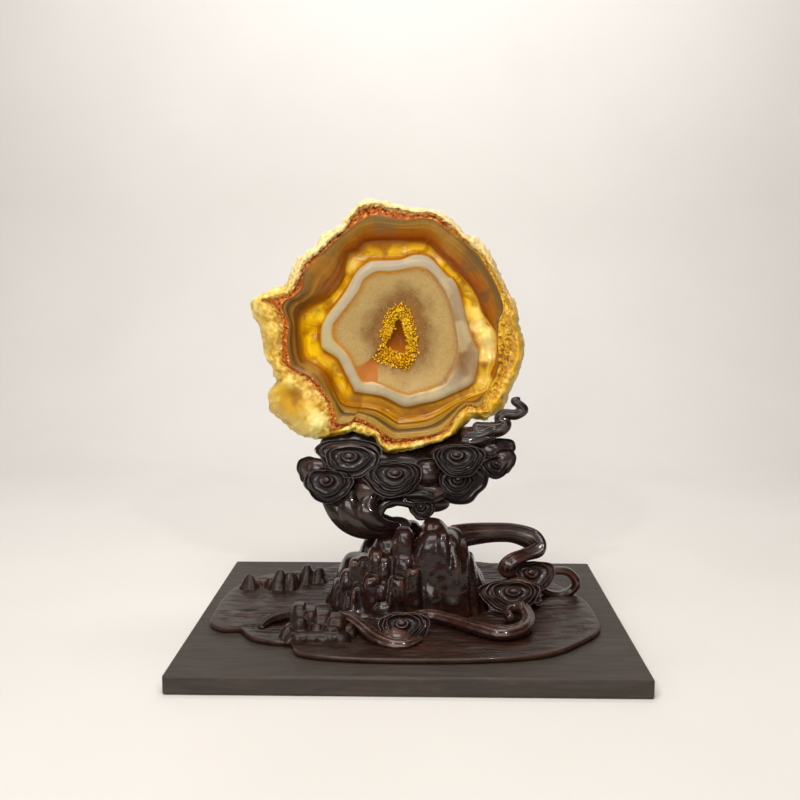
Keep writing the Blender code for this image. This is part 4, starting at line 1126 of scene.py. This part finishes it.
def makeScroll(name, route, radii, flatten, ridges=3, ridge=0.0, facing=(0, -1, 0), around=36, rings=140,
               square=0.8):
    # A carved ribbon: a flattened tube along the route with ridges along its front
    route = [(x, y, z + boardTop) for x, y, z in route]
    widths = [(radius,) for radius in radii]

    def shape(polar, angles):
        share = np.clip(np.round(polar * (rings + 1) - 1) / (rings - 1), 0, 1)
        centre = onRoute(route, share)
        ahead = onRoute(route, np.clip(share + 0.004, 0, 1)) - onRoute(route, np.clip(share - 0.004, 0, 1))
        ahead /= np.linalg.norm(ahead, axis=1)[:, None]
        face = np.array(facing, float) - ahead * (ahead @ np.array(facing, float))[:, None]
        face /= np.linalg.norm(face, axis=1)[:, None]
        side = np.cross(ahead, face)
        width = onRoute(widths, share)[:, 0]
        end = np.clip(np.minimum(share, 1 - share) * (rings - 1) / 5.0, 0, 1)
        width = width * np.sqrt(np.clip(1 - (1 - end) ** 2, 0, 1))
        pole = (polar < 0.5 / (rings + 1)) | (polar > 1 - 0.5 / (rings + 1))
        width[pole] = 0
        across, up = np.cos(angles), np.sin(angles)
        across = np.sign(across) * np.abs(across) ** square
        up = np.sign(up) * np.abs(up) ** square
        lift = up + ridge * np.clip(up * 3, 0, 1) * np.cos(across * math.pi * ridges)
        return centre + side * (across * width)[:, None] + face * (lift * width * flatten)[:, None]

    return closedShape(name, around, rings, shape)


def turned(turn, tip):
    # Turns places round the upright after tipping them back
    return np.array(Matrix.Rotation(math.radians(turn), 3, "Z") @ Matrix.Rotation(math.radians(tip), 3, "X"))


def makeLump(centre, radii, power=1.0, segments=32, rings=16, turn=0.0, tip=0.0):
    # A rounded lump; a power under 1 squares it off
    spin = turned(turn, tip)

    def shape(polar, angles):
        swell = np.sin(polar * math.pi)
        x, y, z = swell * np.cos(angles), swell * np.sin(angles), np.cos(polar * math.pi)
        unit = np.stack([np.sign(v) * np.abs(v) ** power for v in (x, y, z)], -1)
        return (unit * np.array(radii)) @ spin.T + np.array(centre) + np.array([0, 0, boardTop])

    return closedShape("lump", segments, rings, shape)


cloudHead = {
    "points": 72, "lobe": 0.085, "drop": 0.12, "first": 0.46, "step": 2.6, "tip": 22.0, "back": 2.2,
    "wave": 0.022,
    # each plate's lip, from its side inwards: share of the plate's reach, level above its front
    "lip": ((0.96, -2.2), (0.985, -1.2), (1.02, -0.2), (1.04, 0.45), (1.03, 0.7), (1.0, 0.6), (0.97, 0.1),
            (0.92, -0.7), (0.86, -1.3)),
    # what the front plate holds: a dish with a ringed knob, a plain dish or a plain swelling
    "knob": ((0.78, -1.8), (0.68, -2.2), (0.58, -2.2), (0.50, -1.8), (0.45, -1.0), (0.42, 0.1), (0.395, 0.65),
             (0.355, 0.8), (0.31, 0.55), (0.275, 0.0), (0.25, 0.05), (0.235, 0.8), (0.20, 1.6), (0.13, 2.0),
             (0.05, 2.1)),
    "dish": ((0.75, -1.6), (0.5, -1.9), (0.25, -1.8), (0.06, -1.7)),
    "dome": ((0.80, -0.7), (0.70, 0.2), (0.5, 1.0), (0.25, 1.5), (0.06, 1.6)),
}


def makeCloudHead(boss, width, height, tiers, turn, tip=cloudHead["tip"], stride=cloudHead["step"], seed=0,
                  middle="knob"):
    # Stepped dished plates, each a rounded triangle that points down, round a knob
    profile = []
    for tier in reversed(range(tiers)):
        share = cloudHead["first"] + (1 - cloudHead["first"]) * (tier + 1) / tiers
        if not profile:
            profile.append((share * 0.9, -stride * (tier + cloudHead["back"]), share))
        for reach, level in cloudHead["lip"]:
            profile.append((share * reach, level - stride * tier, share))
    share = cloudHead["first"] + (1 - cloudHead["first"]) / tiers
    profile += [(share * reach, level, share) for reach, level in cloudHead[middle]]
    bpy.ops.mesh.primitive_circle_add(vertices=cloudHead["points"], radius=profile[0][0], fill_type="NGON",
                                      location=(0, 0, profile[0][1]))
    piece = bpy.context.object
    bpy.ops.object.transform_apply(location=True)
    bpy.ops.object.mode_set(mode="EDIT")
    bpy.ops.mesh.select_all(action="SELECT")
    bpy.ops.mesh.duplicate()
    for (reach, level, _), (last, lastLevel, _) in zip(profile[1:], profile[:-1]):
        bpy.ops.mesh.extrude_region_move(TRANSFORM_OT_translate={"value": (0, 0, level - lastLevel)})
        bpy.ops.transform.resize(value=(reach / last, reach / last, 1))
    bpy.ops.mesh.select_all(action="SELECT")
    bpy.ops.mesh.remove_doubles(threshold=0.0001)
    bpy.ops.mesh.normals_make_consistent(inside=False)
    bpy.ops.object.mode_set(mode="OBJECT")
    points = getPoints(piece)
    # Each ring knows its plate from the order in which the rings were drawn out
    reaches, levels, ringShares = np.array(profile).T
    radius = np.hypot(points[:, 0], points[:, 1])
    nearest = np.argmin((radius[:, None] - reaches) ** 2 + (points[:, 2][:, None] - levels) ** 2, axis=1)
    plate = ringShares[nearest]
    angles = np.arctan2(points[:, 1], points[:, 0])
    inner = np.clip(radius / (0.6 * plate) - 0.35, 0, 1)
    lobes = 1 + inner * (cloudHead["lobe"] * np.sin(3 * angles)
                         + cloudHead["wave"] * np.sin(5 * angles + 1.3 * seed + 9 * plate)
                         + cloudHead["wave"] * 0.8 * np.sin(8 * angles + 2.1 * seed + 17 * plate))
    drop = -cloudHead["drop"] * height * (plate - 0.3) * inner
    slide = 0.10 * width * (plate - 0.3) * inner * math.sin(2.4 * seed + 0.6)
    flutter = 0.9 * np.sin(3 * angles + 2.0 * seed + 7 * plate) * np.clip(radius / plate - 0.6, 0, 1)
    spiral = np.clip(1 - np.abs(radius / plate - 0.36) / 0.12, 0, 1) * 0.8 * np.sin(angles + seed)
    shaped = np.stack([points[:, 0] * lobes * width / 2 + slide, points[:, 1] * lobes * height / 2 + drop,
                       points[:, 2] + flutter + spiral - 1.0 * radius ** 2], -1)
    setPoints(piece, (shaped @ turned(turn, 90 - tip).T + np.array(boss) + np.array([0, 0, boardTop])) * mm)
    return piece


seat = {
    "grain": 1.0, "rounds": 3,
    # middle, radii, squareness, turn, tip of the swellings behind the cloud heads
    "lumps": (
        ((-12, 34, 79), (42, 19, 17), 1.0, 0, 0), ((-36, 26, 92), (19, 12, 12), 1.0, 0, 0),
        ((-37, 14, 86), (15, 9, 9), 1.0, 0, 0), ((30, 33, 88), (22, 17, 16), 1.0, 0, 0),
        ((27, 17, 88), (16, 8, 9), 1.0, 0, 0), ((-54, 10, 81), (8, 6, 7), 0.9, 0, 0),
        ((29, 19, 75), (14, 8, 10), 0.9, 0, 0), ((48, 17, 91), (9, 6, 7), 0.9, 0, 0),
        ((-24, 9, 78), (9, 7, 8), 1.0, 0, 0), ((-20, 13, 66), (17, 8, 9), 0.9, 0, 0),
        ((-41, 9, 67), (8, 7, 9), 1.0, 20, 0), ((8, 15, 71), (16, 8, 6), 1.0, 0, 0),
        ((12, 20, 60), (12, 8, 6), 0.9, 0, 0), ((10, 12, 79), (9, 8, 8), 1.0, 0, 0),
        ((42, 17, 100), (7, 7, 5.5), 1.0, 0, 15), ((36, 18, 100), (7, 7, 6), 1.0, 0, 0),
        ((-33, 14, 55), (7, 8, 9), 1.0, 0, 0), ((-22, 14, 49), (13, 8, 6), 1.0, 0, 0),
        ((-8, 14, 47), (9, 7, 5.5), 1.0, 0, 0)),
    # boss, width, height, plates, turn, tip, step, middle: the heads, then the plain lobes behind them
    "clouds": (
        ((-35, 1, 91), 31, 19, 2, -8, 22, 2.6, "knob"), ((-48, -2, 77.5), 29, 20, 2, -14, 22, 2.6, "knob"),
        ((-8.4, -3, 82), 33, 21, 3, 0, 22, 2.4, "knob"), ((26.6, -1, 92.3), 28, 19, 3, 0, 22, 2.4, "knob"),
        ((27.8, 2, 77.5), 19, 14, 2, 0, 22, 2.4, "knob"), ((50, 5, 86.2), 18, 13, 2, 12, 22, 2.2, "knob"),
        ((6.4, 5, 60.6), 15, 12, 2, 0, 22, 2.0, "knob"),
        ((-57, 7, 83), 18, 16, 1, -22, 12, 2.0, "dome"), ((-38, 7, 93), 37, 18, 1, -6, 18, 2.0, "dome"),
        ((29, 9.5, 76), 33, 23, 1, 4, 8, 1.6, "dish"), ((56, 9, 89), 13, 14, 1, 18, 12, 1.6, "dome"),
        ((51, 14, 95), 20, 13, 1, 14, 30, 1.6, "dish"), ((10, 8, 70), 32, 12, 1, 0, 26, 1.6, "dome"),
        ((-29, 5, 71), 20, 20, 1, -20, 10, 1.8, "dome"), ((10, 8, 84), 13, 12, 1, 0, 24, 1.6, "dome"),
        # the same carving carried round the back, which the photograph doesn't show
        ((-34, 41, 86), 30, 18, 2, 184, 16, 2.4, "knob"), ((-8, 54, 78), 34, 20, 3, 180, 16, 2.4, "knob"),
        ((26, 50, 87), 30, 18, 2, 176, 16, 2.4, "knob"), ((8, 50, 69), 24, 13, 1, 180, 20, 2.0, "dome")),
    # the scroll stem's crescents: route, radii
    "stem": (
        (((-50, 12, 70), (-46, 9, 62.5), (-41, 7, 56), (-35, 7, 50.5), (-27.5, 7, 46.5), (-18, 8, 44.8),
          (-10, 8, 44), (-3, 10, 44)), (4.0, 5.6, 6.6, 6.8, 5.8, 4.4, 3.2, 2.6)),
        (((-30, 9, 71), (-35, 5, 64.5), (-34.5, 3.5, 57), (-29.5, 3, 51), (-21.5, 4, 47.6), (-13, 5, 46.4),
          (-5, 8, 46)), (3.4, 6.0, 7.0, 6.6, 5.0, 3.4, 2.6)),
        (((-14, 8, 70), (-22, 5, 65), (-25, 2.0, 58.5), (-21, 1.5, 52.5), (-14, 3, 49.4), (-6, 7, 48)),
         (2.2, 5.0, 6.4, 5.4, 3.8, 2.4)),
        (((-15, 4.5, 51), (-17.5, 3.5, 55), (-16.2, 3.5, 60), (-12, 4, 63), (-5, 5, 63), (3, 6, 61)),
         (1.4, 2.3, 2.6, 2.4, 2.2, 2.4))),
    "arm": ((-10, 8, 67), (0, 7, 67.5), (8, 7, 67.5), (14, 7, 65.5)), "armRadii": (2.6, 2.6, 3.0, 2.6),
    # the flame-shaped tail: its thick root and its scroll
    "tails": (
        (((33, 15, 101), (41, 14, 101.5), (48, 13.5, 104.5), (53.5, 13.5, 105.5)), (3.0, 3.8, 3.4, 2.2)),
        (((30, 14, 98), (37, 13, 97.6), (44, 13, 100), (50, 13, 101)), (2.6, 3.4, 3.0, 1.8)),
        (((36, 17, 104.5), (45, 16, 104), (52.5, 15, 105.2), (55.5, 15, 108.2), (52.3, 15, 111),
          (55, 15, 113.6), (61.5, 15, 113.6), (66, 15, 116.4), (63.6, 15, 119.4), (60.7, 15, 121.6),
          (64.2, 15, 123.2)), (4.6, 4.8, 4.4, 3.8, 3.3, 3.1, 3.1, 3.0, 2.6, 2.1, 1.1))),
}


def makeSeat():
    lumps = [makeLump(middle, radii, power, turn=turn, tip=tip)
             for middle, radii, power, turn, tip in seat["lumps"]]
    parts = [meltTogether(lumps, "seat_body", seat["grain"], seat["rounds"])]
    for route, radii in seat["stem"]:
        parts.append(makeScroll("stem_band", route, radii, 0.62, ridges=1, ridge=0.04, rings=100))
    parts.append(makeScroll("arm", seat["arm"], seat["armRadii"], 1.0, ridges=2, ridge=0.06, rings=50))
    for route, radii in seat["tails"]:
        parts.append(makeScroll("tail", route, radii, 1.2, ridges=2, ridge=0.08, rings=120))
    for index, (*cloud, middle) in enumerate(seat["clouds"]):
        parts.append(makeCloudHead(*cloud, seed=index, middle=middle))
    piece = joinPieces(parts, "carved_seat")
    dressWood(piece, woodMaterial("seat hardwood", "seat", wear=0.6), "cloud_seat")


makeSeat()
print("seat carved")

cliffs = {
    "grain": 0.7, "rounds": 2, "foot": 2.4,
    # size and height of the swellings and the grit; width, length and height of the folds
    "swell": (13.0, 2.0), "folds": (15.0, 70.0, 1.5), "grit": (5.0, 0.4), "smoothing": 3,
    # across, back, half width, half depth, top, squareness, narrowing, lean to the right, how domed
    "pillars": (
        (0, 12, 44, 36, 8, 0.8, 0.9, 0, 0.5), (-3.4, -5, 7.8, 10, 51, 0.6, 0.8, 0, 0.5),
        (-21, 0, 14, 14.5, 33, 0.45, 0.85, 0, 0.5), (21, 1, 14, 17.5, 45, 0.5, 0.75, -1, 0.5),
        (-32, 0, 12, 14, 20, 0.5, 0.75, 0, 0.5), (33, 1, 8, 17, 34, 0.5, 0.7, -2, 0.6),
        (-3.4, -8, 8.6, 9, 38, 0.6, 0.95, 0, 0.5), (-8.6, -7, 3.6, 8, 46, 0.8, 0.8, 0.6, 0.5),
        (14, 0, 11, 14, 54.5, 0.7, 0.7, 0, 0.5), (11, -3, 7, 16, 50.5, 0.6, 0.6, 1, 0.45),
        (19.5, -5, 6, 17.2, 51.5, 0.7, 0.8, -1, 0.45), (27, -5, 5, 17.0, 47.5, 0.7, 0.8, -2, 0.45),
        (32.5, -4, 4.5, 16.5, 43, 0.7, 0.8, -2.5, 0.45), (23.3, -16, 1.6, 5, 36, 0.8, 0.6, -1, 0.4),
        (37, -2, 5.5, 16, 34.5, 0.6, 0.65, -3, 0.45), (40.5, 1, 5.5, 15, 25, 0.6, 0.65, -3, 0.45),
        (23, 3, 12, 13, 49, 0.7, 0.75, 0, 0.5),
        (2.6, -20, 5.5, 6, 31, 0.75, 0.7, 0, 0.5), (18, -7, 20.5, 15.5, 50, 0.5, 0.66, -1, 0.55),
        (4.5, -7, 2.4, 9, 42, 0.8, 0.8, 1.5, 0.5), (30.5, -15, 1.8, 5, 31, 0.8, 0.6, -1.5, 0.4),
        (12.5, -16, 2.0, 5, 40, 0.8, 0.6, 0.5, 0.4),
        (-31.5, -6, 3.8, 9, 33, 0.75, 0.7, 0, 0.5), (-26, -6, 5.2, 10, 35, 0.6, 0.8, 0, 0.5),
        (-19.5, -7, 6, 10, 39.5, 0.6, 0.75, 0, 0.5), (-13, -8, 5.5, 10, 36, 0.6, 0.8, 0, 0.5),
        (-21.5, -14, 4.4, 8, 26, 0.45, 0.85, 0, 0.4), (-14.5, -14, 4, 8, 22, 0.45, 0.85, 0, 0.4),
        (-7.5, -16, 4.6, 8, 25, 0.45, 0.85, 0, 0.4), (-28.5, -13, 4.4, 8, 20, 0.45, 0.85, 0, 0.4),
        (-34.5, -12, 3.6, 7, 14, 0.5, 0.8, 0, 0.45), (-37, -4, 5.5, 9, 26, 0.75, 0.6, 1, 0.5),
        (-42.5, 3, 6, 10, 18, 0.75, 0.6, 1.5, 0.6), (-46, 8, 4.5, 8, 10, 0.8, 0.6, 1, 0.6),
        (-12, -20, 10, 5, 12, 0.6, 0.85, 0, 0.7), (-30, -18, 8, 4, 8, 0.6, 0.8, 0, 0.7),
        (-34, 24, 13, 16, 27, 0.7, 0.7, 2, 0.6), (-24, 24, 9, 14, 38, 0.7, 0.75, 1, 0.6),
        (-15, 27, 9, 14, 43, 0.7, 0.75, 0, 0.5), (0, 24, 11, 15, 47, 0.7, 0.75, 0, 0.6),
        (13, 26, 10, 14, 48, 0.7, 0.7, 0, 0.6), (26, 26, 12, 16, 36, 0.7, 0.7, 0, 0.7),
        (36, 24, 13, 17, 21, 0.8, 0.6, -1, 0.8), (-12, 10, 14, 15, 43, 0.7, 0.75, 0, 0.6)),
}


def makePillar(x, y, halfWidth, halfDepth, top, power, taper, lean, dome, foot, seed):
    # An upright rock with a rounded top, straight sides and a wider foot
    height = top - foot

    def shape(polar, angles):
        level = np.cos(polar * math.pi)
        rise = np.sign(level) * np.abs(level) ** dome
        swell = np.sin(polar * math.pi) ** dome
        spin = angles + math.radians(seed * 37 % 40 - 20)
        across = np.sign(np.cos(spin)) * np.abs(np.cos(spin)) ** power
        back = np.sign(np.sin(spin)) * np.abs(np.sin(spin)) ** power
        z = foot + height * (rise + 1) / 2
        share = np.clip(z / top, 0, 1)
        narrow = 1 + (taper - 1) * share + 0.10 * np.clip(1 - z / 7.0, 0, 1)
        wobble = 1 + 0.05 * np.sin(3 * angles + seed) * (1 + 0.5 * np.sin(z * 0.3 + seed))
        return np.stack([x + lean * share + across * swell * halfWidth * narrow * wobble,
                         y + back * swell * halfDepth * narrow * wobble, z + boardTop], -1)

    return closedShape("pillar", 40, 30, shape)


def makeMountain():
    shapes = [makePillar(*pillar, foot=-8.0, seed=index) for index, pillar in enumerate(cliffs["pillars"])]
    piece = meltTogether(shapes, "carved_mountain", cliffs["grain"], cliffs["rounds"])
    roughen(piece, "CLOUDS", *cliffs["swell"], depth=1)
    groove(piece, *cliffs["folds"])
    roughen(piece, "CLOUDS", *cliffs["grit"], depth=1)
    applyModifier(piece, "SMOOTH", factor=0.5, iterations=cliffs["smoothing"])
    cutBelow(piece, (boardTop + cliffs["foot"]) * mm)
    dressWood(piece, woodMaterial("mountain hardwood", "rock", wear=0.8, coat=0.32), "mountain")


makeMountain()
print("mountain carved")

rightRibbon = {
    "route": ((24, 6, 42), (36, 12, 42.6), (50, 15, 43.0), (62, 17, 42), (72.5, 17, 38.3), (75.5, 14, 33.5),
              (68, 10, 31), (60, 6, 28.6), (56.5, 6, 24.5), (60, 12, 20.5), (66, 19, 17)),
    "radii": (7.0, 6.4, 5.6, 5.6, 6.2, 5.0, 3.8, 4.2, 4.8, 4.8, 4.4),
    "curl": ((80, 20, 16.5), (88, 21, 18.2), (95.5, 22, 16.8), (100, 22, 11), (97.2, 22, 5.6),
             (90.5, 21, 3.2), (83.5, 20, 4.4), (78, 19, 8)),
    "curlRadii": (2.4, 2.3, 2.5, 2.7, 2.4, 2.1, 2.1, 2.4),
    "clouds": (((71.5, 9, 20.5), 27, 18, 2, 10), ((59, -16, 17.0), 33, 18, 3, 0),
               ((73, 0, 12), 22, 14, 1, 70), ((66, 14, 13), 24, 14, 2, 165)),
    "lump": ((64, 2, 11), (10, 12, 8)),
}


def makeRightRibbon():
    look = rightRibbon
    parts = [makeScroll("arch", look["route"], look["radii"], 0.75, ridges=3, ridge=0.07,
                        facing=(0, -0.85, 0.5), around=64, rings=200, square=0.5),
             makeScroll("curl", look["curl"], look["curlRadii"], 1.3, ridges=2, ridge=0.08, rings=110),
             makeLump(*look["lump"])]
    for index, cloud in enumerate(look["clouds"]):
        parts.append(makeCloudHead(*cloud, tip=26, stride=2.4, seed=index + 11))
    piece = joinPieces(parts, "carved_ribbon_right")
    dressWood(piece, woodMaterial("right ribbon hardwood", "ribbon"), "cloud_ribbon_right")


makeRightRibbon()

frontRibbon = {
    "route": ((63, -25, 11), (65, -38, 8.5), (60, -52, 7.5), (48, -57, 7), (36, -49, 7), (23, -37, 7),
              (11, -31, 7.5), (0, -38, 7.5)),
    "radii": (3.4, 3.7, 3.8, 3.7, 3.5, 3.3, 3.3, 3.6),
    "lower": ((-40, -30, 6.5), (-32, -36, 7), (-25, -46, 6), (-18, -58, 5), (-9, -66, 4.4), (0, -66, 4.4),
              (7, -59, 5)),
    "lowerRadii": (2.8, 3.4, 3.8, 4.0, 3.6, 3.0, 1.8),
    "curl": ((64, -29, 12), (58, -27, 11), (54, -31, 9.5), (56, -37, 8)), "curlRadii": (3.0, 2.8, 2.6, 2.0),
    "cloud": ((-3.5, -54, 11), 26, 18, 3, 0), "lump": ((-6, -48, 3.5), (9, 12, 5.5)),
    "facing": (0, -0.6, 0.8),
}


def makeFrontRibbon():
    look = frontRibbon
    parts = [makeScroll("wave", look["route"], look["radii"], 0.8, ridges=2, ridge=0.1,
                        facing=look["facing"], around=56, rings=200, square=0.6),
             makeScroll("lower_wave", look["lower"], look["lowerRadii"], 0.75, ridges=2, ridge=0.1,
                        facing=look["facing"], around=56, rings=140, square=0.6),
             makeScroll("curl", look["curl"], look["curlRadii"], 1.0, ridges=2, ridge=0.08,
                        facing=look["facing"], rings=60),
             makeLump(*look["lump"]), makeCloudHead(*look["cloud"], tip=30.0, stride=2.4, seed=21)]
    piece = joinPieces(parts, "carved_ribbon_front")
    cutBelow(piece, (boardTop + cliffs["foot"]) * mm)
    dressWood(piece, woodMaterial("front ribbon hardwood", "ribbon"), "cloud_ribbon_front")


makeFrontRibbon()
print("ribbons carved")

ground = {
    # its outline seen from above, clockwise from the left tip
    "outline": ((-111, -30), (-112, -8), (-112, 12), (-109, 32), (-103, 48), (-92, 60), (-76, 67), (-58, 74),
                (-44, 86), (-20, 92), (10, 93), (40, 93), (60, 84), (78, 62), (94, 38), (104, 12), (106, -14),
                (104, -38), (92, -56), (72, -74), (40, -82), (0, -84), (-34, -82), (-56, -76), (-62, -62),
                (-72, -60), (-84, -54), (-93, -41), (-103, -41)),
    "bottom": 0.1, "top": 3.1, "strokes": 0.75, "around": 480, "rings": 110,
    "folds": (8.0, 30.0, 0.9), "grit": (4.0, 0.4),
    # the small rocks, as the mountain's columns
    "rocks": (
        (-99, 31, 8, 8, 12, 0.8, 0.2, 0, 0.6), (-94, 33, 6, 7, 7.5, 0.8, 0.35, 0, 0.7),
        (-81, 31, 6, 8, 15, 0.7, 0.35, 1, 0.5), (-74, 32, 6, 8, 13, 0.7, 0.4, 0, 0.5),
        (-86.5, 33, 6, 7, 9, 0.8, 0.35, 0, 0.6), (-65, 45, 7, 8, 14, 0.8, 0.35, 0, 0.5),
        (-57.5, 46, 6, 8, 12, 0.8, 0.4, 0, 0.5), (-71, 46, 5, 7, 8.5, 0.8, 0.4, 0, 0.6),
        (-59.5, -46, 5.4, 8, 19, 0.6, 0.7, 1, 0.45), (-53, -47, 4.6, 8, 17, 0.6, 0.8, 0, 0.45),
        (-46, -48, 5.2, 8, 15, 0.5, 0.85, 0, 0.45), (-38.5, -49, 5.4, 8, 14, 0.5, 0.85, 0, 0.45),
        (-48, -55, 17, 8, 8, 0.45, 0.92, 0, 0.5), (-48, -47, 14, 7.5, 13, 0.4, 0.85, 0, 0.45),
        (-57, -54, 4.2, 5, 14, 0.6, 0.7, 0, 0.5),
        (-48.5, -55, 4, 4, 11, 0.6, 0.75, 0, 0.5), (-40.5, -56, 5.4, 4, 10.5, 0.5, 0.85, 0, 0.5),
        (-31.5, -50, 4.6, 5, 9, 0.6, 0.65, 0, 0.5), (-65, -50, 5, 8, 9, 0.7, 0.5, 1, 0.6)),
    "fold": ((-60, -24, 4.6), (-68, -27, 5.2), (-76, -33, 4.6), (-81, -42, 3.2)),
    "foldRadii": (3.0, 3.4, 3.0, 1.8),
}


def makeGround():
    turns, reach = turnsAndReach(ground["outline"], (0, 0), 1)
    rings = ground["rings"]

    def shape(polar, angles):
        ring = np.round(polar * (rings + 1)) - 1
        radius = np.interp(angles, turns, reach, period=2 * math.pi)
        # rings 0 to 3 are the underside and the rounded lip, the rest run in over the top
        share = np.where(ring <= 0, 0.985, np.where(ring <= 4, 1.0 - 0.004 * np.abs(ring - 2.0), 0))
        share = np.where(ring > 4, 0.992 - 0.992 * (ring - 4) / (rings - 4), share)
        level = np.interp(ring, (0, 1, 2, 3, 4), (0.0, 0.25, 0.65, 0.9, 1.0))
        share[polar < 0.5 / (rings + 1)] = 0
        x, y = radius * share * np.cos(angles), radius * share * np.sin(angles)
        z = ground["bottom"] + (ground["top"] - ground["bottom"]) * level
        top = ring >= 4
        strokes = np.zeros_like(x)
        for index in np.nonzero(top)[0]:
            sway = 2.5 * noise.noise(Vector((x[index] / 30, y[index] / 30, 3.0)))
            cut = noise.noise(Vector((x[index] / 21, (y[index] + sway) / 2.6, 0.0)))
            fine = noise.noise(Vector((x[index] / 14, (y[index] + sway) / 1.6, 8.0)))
            strokes[index] = 0.7 - 1.7 * abs(cut) + 0.8 * fine
        inset = np.clip((1 - share) * 14, 0, 1)
        lift = np.clip(strokes, -1, 1.2) * ground["strokes"] * inset * top
        return np.stack([x, y, z + boardTop + lift], -1)

    piece = closedShape("ground_sheet", ground["around"], rings, shape)
    rocks = [makePillar(*rock, foot=-4.0, seed=index + 40) for index, rock in enumerate(ground["rocks"])]
    rocks = meltTogether(rocks, "ground_rocks", 0.5, 1)
    groove(rocks, *ground["folds"])
    roughen(rocks, "CLOUDS", *ground["grit"])
    fold = makeScroll("fold", ground["fold"], ground["foldRadii"], 1.0, ridges=2, ridge=0.12,
                      facing=frontRibbon["facing"], rings=70)
    for part in (rocks, fold):
        cutBelow(part, (boardTop + cliffs["foot"]) * mm)
    piece = joinPieces([piece, rocks, fold], "carved_landscape")
    material = woodMaterial("ground hardwood", "ground", wear=0.5, rough=0.38, coat=0.06)
    dressWood(piece, material, "carved_ground")


makeGround()
print("ground carved")


def dressBoard():
    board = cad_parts["base_board"]
    board.data.materials.clear()
    board.data.materials.append(woodMaterial("board hardwood", "board", wear=0.0, rough=0.4, coat=0.05))


dressBoard()
print("board dressed")
